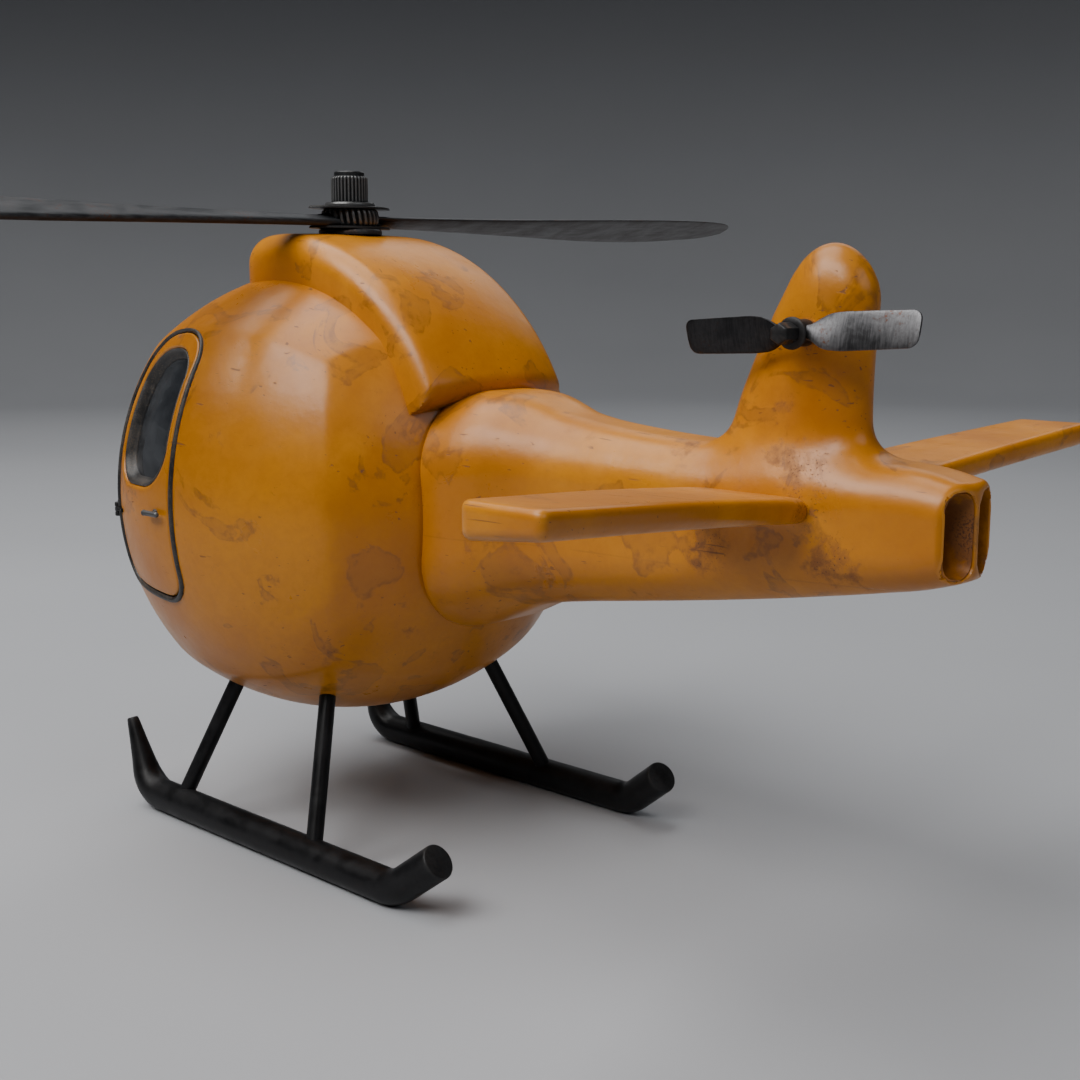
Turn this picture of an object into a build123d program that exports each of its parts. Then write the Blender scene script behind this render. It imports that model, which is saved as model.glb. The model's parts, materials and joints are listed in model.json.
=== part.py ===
"""Toy helicopter: a hollow two-piece pod with opening doors, a tail boom, skids and two rotors.

+X is the nose, +Y is port (left), +Z is up. The origin is on the ground, under the middle of
the object's box. Millimetres.
"""
from build123d import *
import math
import os

os.makedirs("parts", exist_ok=True)

# ---------------------------------------------------------------- driving dimensions
overall_length = 202.3      # nose of the pod to the exhaust lips
pod_r = 49.5                # outer radius of the pod
pod_wall = 2.0
pod_z = 73.5                # height of the pod's centre
pod_x = overall_length / 2 - pod_r
tail_x = -overall_length / 2
touch = 0.02                # hairline between pieces that only meet
running = 0.05              # radial clearance of a shaft in its bush

# doors, laid out on the plane that touches the pod's side (u forward, w up)
door_u = (-2.4, 27.5)
door_w = (-20.6, 48.0)
door_low_r, door_high_r = 6.5, 13.0
seal_width = 1.3            # width of the rubber bead around the door
seal_proud = 0.5            # how far the bead stands out of the skin
door_gap = 0.35             # free gap between door and bead
door_wall = 1.5
window_u = (0.0, 25.0)
window_w = (4.0, 41.5)
window_low_r, window_high_r = 9.0, 11.0
gasket_width = 1.8
glass_depth = 2.4           # outer face of the glass, below the skin
glass_wall = 0.8
hinge_u = 30.4              # hinge axis, ahead of the door
hinge_out = 1.2             # hinge axis, outside the skin
hinge_r, hinge_pin_r = 0.8, 0.35
hinge_low, hinge_high = -4.6, -1.6
hinge_leaf_reach = 6.2      # length of the door's leaf
hinge_leaf_length = 3.2     # length of the bracket's leaf

# door handle: a bar on a stem, with a button inside the door
handle_u, handle_w = 2.6, -0.9
handle_half = 2.75          # half of the bar's length
handle_bar_r, handle_stem_r = 0.65, 0.7
handle_out = 1.5            # middle of the bar, outside the skin
handle_button_r, handle_button = 1.3, 0.8
handle_play = 0.35          # gap between the button and the door

# windscreen, laid out on the plane that touches the pod's nose
screen_half = 33.0
screen_w = (-6.0, 43.0)
screen_corner_r = 15.0

# cabin floor
floor_below = 27.0          # underside, below the pod's centre
floor_thick = 1.6

# engine cowl: a band bent over the top of the pod
cowl_r = 56.0               # outer radius of the band about the pod's centre
cowl_half = 19.5            # half of the band's width
cowl_shoulder_r = 6.0
cowl_front = 13.0           # front face, ahead of the pod's centre
cowl_corner_r = 6.0

# tail boom: (distance behind the pod's centre, half width, bottom, top, corner radius)
boom_sections = [
    (38.0, 20.4, 49.6, 97.4, 17.0),
    (52.0, 20.2, 49.4, 97.6, 17.0),
    (64.0, 15.6, 56.0, 95.2, 13.0),
    (78.0, 13.2, 59.0, 93.0, 11.0),
    (110.0, 11.2, 63.8, 91.0, 8.5),
    (overall_length - pod_r, 8.3, 72.0, 88.0, 5.0),
]
boom_wall = 2.0
boom_web = 58.0             # back of the solid front flange, behind the pod's centre
boom_seam_z = 70.2          # joint between the upper and lower shells
# fin: (height, distance of its middle behind the pod's centre, half chord, half thickness)
fin_sections = [
    (84.0, 117.0, 15.5, 7.6),
    (97.0, 119.7, 12.2, 7.0),
    (112.0, 123.4, 8.4, 6.3),
    (120.0, 125.2, 6.6, 5.4),
    (124.6, 125.6, 3.2, 2.9),
]
fin_top = 125.4

# exhaust insert
lip_setback = 2.2           # how far the outer lips stop short of the middle rib
insert_wall = 0.8
insert_depth = 13.0
port_width, port_height = 6.4, 13.4
port_middle_y, port_middle_z = 4.0, 79.9
port_depth = 11.5

# stabilisers: (distance from the middle plane, front x, rear x, top z, front and rear depth)
stab_root = (8.6, 105.0, 128.1, 84.9, 6.4, 5.0)
stab_tip = (81.4, 120.0, 135.3, 90.9, 5.6, 4.0)
stab_edge_r = 1.1

# landing gear
skid_r = 3.55
skid_flat = 0.15            # depth of the flat ground on the underside
skid_y = 35.35
skid_z = skid_r - skid_flat
skid_tip_r = 1.28
skid_rear = (-64.1, 33.6, 11.5)
skid_rear_bend = (-53.6, skid_y, skid_z)
skid_front_bend = (31.0, skid_y, skid_z)
skid_front = (37.9, skid_y, 19.4)
skid_rear_bend_r, skid_front_bend_r = 9.0, 7.0
leg_r = 1.75
leg_feet = {"front": (18.9, skid_y, skid_z), "rear": (-28.3, skid_y, skid_z)}
leg_tops = {"front": (11.1, 24.4, 31.2), "rear": (-19.4, 23.4, 33.6)}
leg_inside = 4.0            # length of leg past the pod's skin

# main rotor
mast_x = pod_x - 1.8
mast_r = 2.0
mast_bottom = 115.4
bush_r = 3.5
bush_bottom, bush_top = 117.6, 129.2
bush_boss_r, bush_boss_height = 7.0, 5.0
clip_groove = 0.4           # depth of the groove that holds the clip
clip_reach = 1.1            # how far the clip stands out of the mast
clip_thick = 0.8
clip_end = 0.7              # length of mast below the clip
ring_r = 6.9
ring_top = 130.45
yoke_half_length, yoke_half_width = 11.25, 6.3
lower_yoke = (130.5, 131.1)
collar_r = 5.8
collar_top = 134.7
collar_ribs = 28
upper_yoke = (134.7, 135.3)
cap_top, cap_r = 136.1, 5.4
knob_r, knob_top, knob_cap_r = 4.0, 142.7, 3.3
knob_bore = 4.0             # depth of mast inside the knob
knob_chamfer = 0.8
knob_flutes = 36
rotor_radius = 139.0
blade_z = 132.3
blade_pitch = 14.0
# (distance from the mast, chord, thickness, rise)
blade_sections = [
    (4.0, 5.6, 1.8, 0.0),
    (12.0, 6.0, 1.8, 0.0),
    (19.0, 6.8, 1.9, 0.0),
    (47.0, 10.5, 2.1, 0.1),
    (76.0, 16.5, 2.2, 0.3),
    (104.0, 19.5, 2.1, 0.5),
    (126.0, 16.0, 1.7, 0.9),
    (136.5, 8.0, 1.2, 1.2),
    (rotor_radius, 2.4, 0.8, 1.3),
]

# tail rotor
tail_axis_x = pod_x - 124.5
tail_axis_z = 110.9
tail_shaft_r = 1.0
tail_bush_r = 2.1
tail_bush_face = 6.9
tail_hub_r = 2.2
tail_hub_span = (6.95, 10.7)
tail_washer_r, tail_washer_top = 2.6, 11.4
tail_bolt_r, tail_bolt_top = 1.8, 14.9   # six-sided bolt head, across its corners
tail_nut_r, tail_nut_length = 1.9, 1.8
tail_blade_y = 9.4
tail_rotor_r = 22.1
tail_blade_chord, tail_blade_thick = 6.2, 0.9
tail_blade_pitch = 20.0
tail_rest_turn = 3.0        # the rotor rests with its front blade a little low
# (distance from the axis, share of the full chord)
tail_blade_shape = [(1.2, 0.45), (3.2, 0.5), (6.2, 1.0), (20.4, 0.95), (tail_rotor_r, 0.72)]

# fasteners
screw_r, screw_head_r, screw_head = 1.0, 1.9, 1.2
boss_r = 3.0
boss_half = 7.0
boss_angles = (58.0, 138.0, 232.0, 305.0)
boss_inset = 4.0            # middle of a boss, inside the pod's skin
screw_seat = 0.8            # how far a screw's seat stands in from the shell's inner face
seat_deep = 2.0
boom_screw_y, boom_screw_z = 9.0, (60.0, 86.0)
boom_screw_short = 2.0      # how far a boom screw stops short of the flange's back
cowl_screw_back, cowl_screw_y, cowl_screw_length = 20.0, 10.0, 6.3

names_of_sides = {1: "port", -1: "starboard"}


# ---------------------------------------------------------------- shared shapes
def ball(radius):
    """A solid ball about the pod's centre."""
    with BuildPart(Plane((pod_x, 0, pod_z))) as shape:
        Sphere(radius)
    return shape.part


def side_plane(side, distance):
    """The plane at a distance from the middle, with u forward and w up from the pod's centre."""
    return Plane((pod_x, side * distance, pod_z), x_dir=(1, 0, 0), z_dir=(0, -1, 0))


def nose_plane(distance):
    """The plane ahead of the pod's centre, with u to port and w up."""
    return Plane((pod_x + distance, 0, pod_z), x_dir=(0, 1, 0), z_dir=(1, 0, 0))


def cone_of(make_plane, u, w, low_r, high_r, grow):
    """The straight-sided cone from the pod's centre through a rounded outline on its skin."""
    with BuildPart() as shape:
        for distance in (pod_r * 0.45, pod_r * 1.25):
            scale = distance / pod_r
            with BuildSketch(make_plane(distance)):
                with BuildLine():
                    low, high = (low_r + grow) * scale, (high_r + grow) * scale
                    left, right = (u[0] - grow) * scale, (u[1] + grow) * scale
                    down, up = (w[0] - grow) * scale, (w[1] + grow) * scale
                    Line((left + low, down), (right - low, down))
                    RadiusArc((right - low, down), (right, down + low), -low)
                    Line((right, down + low), (right, up - high))
                    RadiusArc((right, up - high), (right - high, up), -high)
                    Line((right - high, up), (left + high, up))
                    RadiusArc((left + high, up), (left, up - high), -high)
                    Line((left, up - high), (left, down + low))
                    RadiusArc((left, down + low), (left + low, down), -low)
                make_face()
        loft(ruled=True)
    return shape.part


def door_cone(side, grow):
    return cone_of(lambda d: side_plane(side, d), door_u, door_w, door_low_r, door_high_r, grow)


def window_cone(side, grow):
    return cone_of(lambda d: side_plane(side, d), window_u, window_w,
                   window_low_r, window_high_r, grow)


def screen_cone(grow):
    return cone_of(nose_plane, (-screen_half, screen_half), screen_w,
                   screen_corner_r, screen_corner_r, grow)


def shell_in_cone(cone, outer, inner, hole=None):
    """The piece of a spherical shell inside a cone, less a second cone."""
    with BuildPart() as shape:
        add(ball(outer))
        add(ball(inner), mode=Mode.SUBTRACT)
        add(cone, mode=Mode.INTERSECT)
        if hole is not None:
            add(hole, mode=Mode.SUBTRACT)
    return shape.part


def rod(start, end, radius):
    """A round rod between two points."""
    start, end = Vector(*start), Vector(*end)
    with BuildPart() as shape:
        with BuildSketch(Plane(start, z_dir=end - start)):
            Circle(radius)
        extrude(amount=(end - start).length)
    return shape.part


def from_pod(point):
    """A point given from the pod's axis, in the object's frame."""
    return (pod_x + point[0], point[1], point[2])


def save(part, name):
    part.label = name
    export_step(part, f"parts/{name}.step")


# ---------------------------------------------------------------- legs and skids
legs = {}
for side in (1, -1):
    for end in ("front", "rear"):
        foot = Vector(*from_pod(leg_feet[end]))
        top = Vector(*from_pod(leg_tops[end]))
        head = top + (top - foot).normalized() * leg_inside
        foot_side = (foot.X, side * foot.Y, foot.Z)
        head_side = (head.X, side * head.Y, head.Z)
        with BuildPart() as leg:
            add(rod(foot_side, head_side, leg_r))
        legs[side, end] = leg.part
        save(leg.part, f"leg_{end}_{names_of_sides[side]}")

rise = math.atan2(skid_front[2] - skid_z, skid_front[0] - skid_front_bend[0])
bend_start_x = skid_front_bend[0] - skid_front_bend_r * math.tan(rise / 2)
for side in (1, -1):
    corners = [skid_rear, skid_rear_bend, (bend_start_x, skid_y, skid_z)]
    corners = [(pod_x + x, side * y, z) for x, y, z in corners]
    with BuildPart() as skid_tube:
        with BuildLine() as route:
            FilletPolyline(*corners, radius=skid_rear_bend_r)
        with BuildSketch(Plane(route.line @ 0, z_dir=route.line % 0)):
            Circle(skid_r)
        sweep()
    # the front end bends up and tapers to a narrow tip
    with BuildPart() as skid_nose:
        for step in range(6):
            turn = rise * step / 5
            centre = (pod_x + bend_start_x + skid_front_bend_r * math.sin(turn), side * skid_y,
                      skid_z + skid_front_bend_r * (1 - math.cos(turn)))
            across = Plane(centre, x_dir=(0, 1, 0), z_dir=(math.cos(turn), 0, math.sin(turn)))
            with BuildSketch(across):
                Circle(skid_r - 0.1 * step)
        with BuildSketch(Plane((pod_x + skid_front[0], side * skid_y, skid_front[2]),
                               x_dir=(0, 1, 0), z_dir=(math.cos(rise), 0, math.sin(rise)))):
            Circle(skid_tip_r)
        loft(ruled=True)
    with BuildPart() as skid:
        add(skid_tube.part)
        add(skid_nose.part)
        # the underside is ground flat where the skid rests
        with BuildSketch(Plane.XY):
            Rectangle(2 * overall_length, 2 * overall_length)
        extrude(amount=-skid_r, mode=Mode.SUBTRACT)
        for end in ("front", "rear"):
            add(legs[side, end], mode=Mode.SUBTRACT)
    save(skid.part, f"skid_{names_of_sides[side]}")

# ---------------------------------------------------------------- mast bush and fasteners
with BuildPart() as mast_bush:
    with BuildSketch(Plane((mast_x, 0, bush_bottom))):
        Circle(bush_r)
        Circle(mast_r + running, mode=Mode.SUBTRACT)
    extrude(amount=bush_top - bush_bottom)
save(mast_bush.part, "mast_bush")

with BuildPart() as bush_space:
    with BuildSketch(Plane((mast_x, 0, bush_bottom))):
        Circle(bush_r)
    extrude(amount=bush_top - bush_bottom)

boss_places = [
    (pod_x + (pod_r - boss_inset) * math.cos(math.radians(angle)),
     pod_z + (pod_r - boss_inset) * math.sin(math.radians(angle)))
    for angle in boss_angles
]


def screw(start, end):
    """A pan-head screw with its head at the start."""
    start, end = Vector(*start), Vector(*end)
    with BuildPart() as shape:
        with BuildSketch(Plane(start, z_dir=end - start)):
            Circle(screw_r)
        extrude(amount=(end - start).length)
        with BuildSketch(Plane(start, z_dir=start - end)):
            Circle(screw_head_r)
        extrude(amount=screw_head)
        fillet(shape.faces().sort_by(Axis(start, start - end))[-1].edges(), screw_head / 2)
    return shape.part


with BuildPart() as pod_screws:
    for x, z in boss_places:
        add(screw((x, -boss_half, z), (x, boss_half - 1.5, z)))
save(pod_screws.part, "pod_screws")



def seat_depth(a, b):
    """Distance from the pod's middle plane to a screw's seat, at two offsets across that distance."""
    return math.sqrt((pod_r - pod_wall) ** 2 - a ** 2 - b ** 2) - screw_seat


boom_screw_places = [(y, z) for y in (boom_screw_y, -boom_screw_y) for z in boom_screw_z]
with BuildPart() as boom_screws:
    for y, z in boom_screw_places:
        start = (pod_x - seat_depth(y, z - pod_z), y, z)
        add(screw(start, (pod_x - boom_web + boom_screw_short, y, z)))
save(boom_screws.part, "boom_screws")

cowl_screw_places = [(pod_x - cowl_screw_back, y) for y in (cowl_screw_y, -cowl_screw_y)]
with BuildPart() as cowl_screws:
    for x, y in cowl_screw_places:
        seat_z = pod_z + seat_depth(x - pod_x, y)
        add(screw((x, y, seat_z), (x, y, seat_z + cowl_screw_length)))
save(cowl_screws.part, "cowl_screws")

# ---------------------------------------------------------------- pod
with BuildPart() as pod:
    add(ball(pod_r))
    add(ball(pod_r - pod_wall), mode=Mode.SUBTRACT)
    # bosses across the joint of the two halves
    for x, z in boss_places:
        with BuildSketch(Plane((x, -boss_half, z), z_dir=(0, 1, 0))):
            Circle(boss_r)
        extrude(amount=2 * boss_half)
    # boss under the mast, and flat seats for the screw heads
    with BuildSketch(Plane((mast_x, 0, bush_bottom))):
        Circle(bush_boss_r)
    extrude(amount=bush_boss_height)
    for y, z in boom_screw_places:
        with BuildSketch(Plane((pod_x - seat_depth(y, z - pod_z), y, z), z_dir=(-1, 0, 0))):
            Circle(boss_r)
        extrude(amount=seat_deep)
    for x, y in cowl_screw_places:
        with BuildSketch(Plane((x, y, pod_z + seat_depth(x - pod_x, y)))):
            Circle(boss_r)
        extrude(amount=seat_deep)
    add(ball(pod_r), mode=Mode.INTERSECT)
    add(bush_space.part, mode=Mode.SUBTRACT)
    add(screen_cone(seal_width), mode=Mode.SUBTRACT)
    for side in (1, -1):
        add(door_cone(side, seal_width), mode=Mode.SUBTRACT)
        for end in ("front", "rear"):
            add(legs[side, end], mode=Mode.SUBTRACT)
    for screws in (pod_screws, boom_screws, cowl_screws):
        add(screws.part, mode=Mode.SUBTRACT)

for side, keep in ((1, Keep.BOTTOM), (-1, Keep.TOP)):
    with BuildPart() as pod_shell:
        add(pod.part)
        split(bisect_by=Plane.XZ, keep=keep)
    save(pod_shell.part, f"pod_shell_{names_of_sides[side]}")

# ---------------------------------------------------------------- windscreen
with BuildPart() as windscreen:
    add(shell_in_cone(screen_cone(0), pod_r - 1.0, pod_r - pod_wall))
save(windscreen.part, "windscreen")

with BuildPart() as windscreen_seal:
    add(shell_in_cone(screen_cone(seal_width), pod_r + seal_proud, pod_r - pod_wall,
                      screen_cone(0)))
save(windscreen_seal.part, "windscreen_seal")

# ---------------------------------------------------------------- cabin floor
with BuildPart() as cabin_floor:
    add(ball(pod_r - pod_wall - touch))
    with BuildSketch(Plane((pod_x, 0, pod_z - floor_below))):
        Rectangle(3 * pod_r, 3 * pod_r)
    extrude(amount=floor_thick, mode=Mode.INTERSECT)
    for x, z in boss_places:
        with BuildSketch(Plane((x, -boss_half - 1, z), z_dir=(0, 1, 0))):
            Circle(boss_r + 0.3)
        extrude(amount=2 * boss_half + 2, mode=Mode.SUBTRACT)
    for leg in legs.values():
        add(leg, mode=Mode.SUBTRACT)
    add(pod_screws.part, mode=Mode.SUBTRACT)
save(cabin_floor.part, "cabin_floor")

# ---------------------------------------------------------------- doors
hinge_angle = math.atan2(hinge_u, pod_r)
hinge_x = pod_x + (pod_r + hinge_out) * math.sin(hinge_angle)
hinge_y = (pod_r + hinge_out) * math.cos(hinge_angle)
knuckle = (hinge_high - hinge_low) / 3


def hinge_tube(side, low, high, radius):
    with BuildPart() as shape:
        with BuildSketch(Plane((hinge_x, side * hinge_y, pod_z + low))):
            Circle(radius)
        extrude(amount=high - low)
    return shape.part


def hinge_block(side, low, high, along, outward):
    """A block by the hinge's axis: along the skin from back to front, and out from the skin."""
    forward = (math.cos(hinge_angle), -side * math.sin(hinge_angle), 0)
    middle_along, middle_out = sum(along) / 2, side * sum(outward) / 2
    with BuildPart() as shape:
        with BuildSketch(Plane((hinge_x, side * hinge_y, pod_z + low), x_dir=forward,
                               z_dir=(0, 0, 1))):
            with Locations((middle_along, middle_out)):
                Rectangle(along[1] - along[0], outward[1] - outward[0])
        extrude(amount=high - low)
    return shape.part


for side in (1, -1):
    name = names_of_sides[side]
    with BuildPart() as door_seal:
        add(shell_in_cone(door_cone(side, seal_width), pod_r + seal_proud, pod_r - pod_wall,
                          door_cone(side, 0)))
    save(door_seal.part, f"door_seal_{name}")

    # fixed half of the hinge: an upper and a lower knuckle on a leaf
    with BuildPart() as hinge_bracket:
        for low, high in ((hinge_low, hinge_low + knuckle), (hinge_high - knuckle, hinge_high)):
            add(hinge_tube(side, low, high, hinge_r))
            add(hinge_block(side, low, high, (0, hinge_leaf_length), (-2 * hinge_out, -0.3)))
        add(hinge_block(side, hinge_low, hinge_high, (hinge_r + 0.2, hinge_leaf_length),
                        (-2 * hinge_out, -0.3)))
        add(hinge_tube(side, hinge_low, hinge_high, hinge_pin_r), mode=Mode.SUBTRACT)
        add(ball(pod_r), mode=Mode.SUBTRACT)
        add(door_seal.part, mode=Mode.SUBTRACT)
    save(hinge_bracket.part, f"hinge_bracket_{name}")

    with BuildPart() as hinge_pin:
        add(hinge_tube(side, hinge_low, hinge_high, hinge_pin_r))
    save(hinge_pin.part, f"hinge_pin_{name}")

    with BuildPart() as door_panel:
        add(shell_in_cone(door_cone(side, -door_gap), pod_r, pod_r - door_wall,
                          window_cone(side, 0)))
        # the leaf bridges the rubber bead, and its end is set into the panel
        low, high = hinge_low + knuckle + running, hinge_high - knuckle - running
        add(hinge_tube(side, low, high, hinge_r))
        add(hinge_block(side, low, high, (-hinge_leaf_reach, 0), (-0.6, 0.1)))
        add(hinge_block(side, low, high, (-hinge_leaf_reach, -4.0), (-2.2, -0.4)))
        add(hinge_tube(side, hinge_low, hinge_high, hinge_pin_r + running), mode=Mode.SUBTRACT)
        add(ball(pod_r - door_wall), mode=Mode.SUBTRACT)
        with BuildSketch(side_plane(side, pod_r + 2)):
            with Locations((handle_u, handle_w)):
                Circle(handle_stem_r + running)
        extrude(amount=6.0, both=True, mode=Mode.SUBTRACT)
    save(door_panel.part, f"door_panel_{name}")

    with BuildPart() as door_gasket:
        add(shell_in_cone(window_cone(side, 0), pod_r - 0.6, pod_r - glass_depth - glass_wall,
                          window_cone(side, -gasket_width)))
    save(door_gasket.part, f"window_gasket_{name}")

    with BuildPart() as door_glass:
        add(shell_in_cone(window_cone(side, -gasket_width), pod_r - glass_depth,
                          pod_r - glass_depth - glass_wall))
    save(door_glass.part, f"window_glass_{name}")

    # handle: a stem through the door, a bar outside and a button inside
    bar_y = side * (pod_r + handle_out)
    button_y = side * (pod_r - door_wall - handle_play)
    stem_y = button_y - side * handle_button
    handle_x, handle_z = pod_x + handle_u, pod_z + handle_w
    with BuildPart() as door_handle:
        add(rod((handle_x, stem_y, handle_z), (handle_x, bar_y, handle_z), handle_stem_r))
        add(rod((handle_x, stem_y, handle_z), (handle_x, button_y, handle_z), handle_button_r))
        add(rod((handle_x - handle_half, bar_y, handle_z), (handle_x + handle_half, bar_y, handle_z),
                handle_bar_r))
    save(door_handle.part, f"door_handle_{name}")

# ---------------------------------------------------------------- engine cowl
with BuildPart() as engine_cowl:
    with BuildSketch(Plane((pod_x, -cowl_half, pod_z), x_dir=(1, 0, 0), z_dir=(0, 1, 0))):
        Circle(cowl_r)
    extrude(amount=2 * cowl_half)
    fillet(engine_cowl.edges().filter_by(GeomType.CIRCLE), cowl_shoulder_r)
    with BuildSketch(Plane((pod_x, 0, pod_z + 20.5))):
        with Locations((cowl_front / 2 - 40, 0)):
            RectangleRounded(cowl_front + 80, 2 * cowl_half, cowl_corner_r)
    extrude(amount=pod_r, mode=Mode.INTERSECT)
    add(ball(pod_r), mode=Mode.SUBTRACT)
    with BuildSketch(Plane((mast_x, 0, bush_top))):
        Circle(ring_r + 0.2)
    extrude(amount=5.0, mode=Mode.SUBTRACT)
    add(bush_space.part, mode=Mode.SUBTRACT)
    add(cowl_screws.part, mode=Mode.SUBTRACT)


# ---------------------------------------------------------------- tail boom
def boom_solid(inset, first, last):
    """The boom's outline, shrunk by an inset, between two distances behind the pod."""
    with BuildPart() as shape:
        for back, half, bottom, top, corner in boom_sections:
            plane = Plane((pod_x - back, 0, (bottom + top) / 2), x_dir=(0, 1, 0), z_dir=(1, 0, 0))
            with BuildSketch(plane):
                RectangleRounded(2 * (half - inset), top - bottom - 2 * inset, corner - inset)
        loft(ruled=True)
        with BuildSketch(Plane((pod_x - first, 0, pod_z), z_dir=(-1, 0, 0))):
            Rectangle(3 * pod_r, 3 * pod_r)
        extrude(amount=last - first, mode=Mode.INTERSECT)
    return shape.part


boom_end = boom_sections[-1][0]
boom_outer = boom_solid(0, boom_sections[0][0], boom_end)
boom_cavity = boom_solid(boom_wall, boom_web, boom_end - insert_depth)
insert_space = boom_solid(insert_wall, boom_end - insert_depth, boom_end)

# everything behind the two slanted lips
with BuildPart() as behind_lips:
    with BuildSketch(Plane.XY.offset(pod_z - 20)):
        with BuildLine():
            half = boom_sections[-1][1] + 1
            Polyline((tail_x - 5, -half), (tail_x + lip_setback, -half), (tail_x, 0),
                     (tail_x + lip_setback, half), (tail_x - 5, half), close=True)
        make_face()
    extrude(amount=60)

with BuildPart() as fin:
    for height, back, half_chord, half_thick in fin_sections:
        with BuildSketch(Plane((pod_x - back, 0, height))):
            Ellipse(half_chord, half_thick)
    loft(ruled=True)
    fillet(fin.faces().sort_by(Axis.Z)[-1].edges(), fin_top - fin_sections[-1][0])

stabilisers = {}
for side in (1, -1):
    with BuildPart() as stabiliser:
        for out, front, rear, top, front_deep, rear_deep in (stab_root, stab_tip):
            plane = Plane((pod_x, side * out, 0), x_dir=(1, 0, 0), z_dir=(0, -1, 0))
            with BuildSketch(plane) as section:
                with BuildLine():
                    Polyline((-front, top), (-rear, top), (-rear, top - rear_deep),
                             (-front, top - front_deep), close=True)
                make_face()
                fillet(section.vertices(), stab_edge_r)
        loft(ruled=True)
    stabilisers[side] = stabiliser.part
    save(stabiliser.part, f"stabiliser_{names_of_sides[side]}")

with BuildPart() as tail_bush:
    with BuildSketch(Plane((tail_axis_x, -tail_bush_face, tail_axis_z), z_dir=(0, 1, 0))):
        Circle(tail_bush_r)
        Circle(tail_shaft_r + running, mode=Mode.SUBTRACT)
    extrude(amount=2 * tail_bush_face)
save(tail_bush.part, "tail_bush")

with BuildPart() as boom:
    add(boom_outer)
    add(fin.part)
    add(boom_cavity, mode=Mode.SUBTRACT)
    add(insert_space, mode=Mode.SUBTRACT)
    add(behind_lips.part, mode=Mode.SUBTRACT)
    add(ball(pod_r), mode=Mode.SUBTRACT)
    add(boom_screws.part, mode=Mode.SUBTRACT)
    add(rod((tail_axis_x, -tail_bush_face, tail_axis_z), (tail_axis_x, tail_bush_face, tail_axis_z),
            tail_bush_r), mode=Mode.SUBTRACT)
    for side in (1, -1):
        add(stabilisers[side], mode=Mode.SUBTRACT)

for name, keep in (("boom_upper_shell", Keep.TOP), ("boom_lower_shell", Keep.BOTTOM)):
    with BuildPart() as boom_shell:
        add(boom.part)
        split(bisect_by=Plane.XY.offset(boom_seam_z), keep=keep)
    save(boom_shell.part, name)

with BuildPart() as exhaust_insert:
    add(insert_space)
    add(behind_lips.part, mode=Mode.SUBTRACT)
    with BuildSketch(Plane((tail_x + port_depth, 0, port_middle_z), x_dir=(0, -1, 0),
                           z_dir=(-1, 0, 0))):
        with Locations((-port_middle_y, 0), (port_middle_y, 0)):
            RectangleRounded(port_width, port_height, port_width / 2 - 0.05)
    extrude(amount=2 * port_depth, mode=Mode.SUBTRACT)
save(exhaust_insert.part, "exhaust_insert")

with BuildPart() as cowl_trimmed:
    add(engine_cowl.part)
    add(boom_outer, mode=Mode.SUBTRACT)
save(cowl_trimmed.part, "engine_cowl")

# ---------------------------------------------------------------- main rotor
with BuildPart() as rotor_base_ring:
    with BuildSketch(Plane((mast_x, 0, bush_top))):
        Circle(ring_r)
        Circle(mast_r + 0.3, mode=Mode.SUBTRACT)
    extrude(amount=ring_top - bush_top)
    fillet(rotor_base_ring.edges().group_by(Axis.Z)[-1].sort_by(SortBy.LENGTH)[-1], 0.4)
save(rotor_base_ring.part, "rotor_base_ring")

blades = {}
for side in (1, -1):
    with BuildPart() as blade:
        for out, chord, thick, rise in blade_sections:
            plane = Plane((mast_x, side * out, blade_z + rise), x_dir=(side, 0, 0),
                          z_dir=(0, -side, 0))
            with BuildSketch(plane):
                with Locations(Location((-0.1 * chord, 0), blade_pitch)):
                    Ellipse(chord / 2, thick / 2)
        loft()
        add(rod((mast_x, 0, mast_bottom), (mast_x, 0, knob_top), mast_r), mode=Mode.SUBTRACT)
    blades[side] = blade.part
    save(blade.part, f"rotor_blade_{names_of_sides[side]}")

with BuildPart() as rotor_mast:
    with BuildSketch(Plane((mast_x, 0, mast_bottom))):
        Circle(mast_r)
    extrude(amount=cap_top + knob_bore - mast_bottom)
    with BuildSketch(Plane((mast_x, 0, mast_bottom + clip_end))):
        Circle(mast_r)
        Circle(mast_r - clip_groove, mode=Mode.SUBTRACT)
    extrude(amount=clip_thick, mode=Mode.SUBTRACT)
save(rotor_mast.part, "rotor_mast")

with BuildPart() as mast_clip:
    with BuildSketch(Plane((mast_x, 0, mast_bottom + clip_end))):
        Circle(mast_r + clip_reach)
        Circle(mast_r - clip_groove, mode=Mode.SUBTRACT)
        with Locations((mast_r, 0)):
            Rectangle(2 * mast_r, 1.6 * mast_r, mode=Mode.SUBTRACT)
    extrude(amount=clip_thick)
save(mast_clip.part, "mast_clip")

for name, (low, high) in (("lower_yoke_plate", lower_yoke), ("upper_yoke_plate", upper_yoke)):
    # a pointed oval: two arcs that cross at the tips
    with BuildPart() as yoke_plate:
        with BuildSketch(Plane((mast_x, 0, low))):
            with BuildLine():
                for bulge in (1, -1):
                    ThreePointArc((0, -yoke_half_length), (bulge * yoke_half_width, 0),
                                  (0, yoke_half_length))
            make_face()
            Circle(mast_r, mode=Mode.SUBTRACT)
        extrude(amount=high - low)
    save(yoke_plate.part, name)

with BuildPart() as hub_collar:
    with BuildSketch(Plane((mast_x, 0, lower_yoke[1]))):
        Circle(collar_r - 0.25)
        with PolarLocations(collar_r - 0.35, collar_ribs):
            Circle(0.42)
        Circle(mast_r, mode=Mode.SUBTRACT)
    extrude(amount=collar_top - lower_yoke[1])
    for side in (1, -1):
        add(blades[side], mode=Mode.SUBTRACT)
save(hub_collar.part, "hub_collar")

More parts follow.
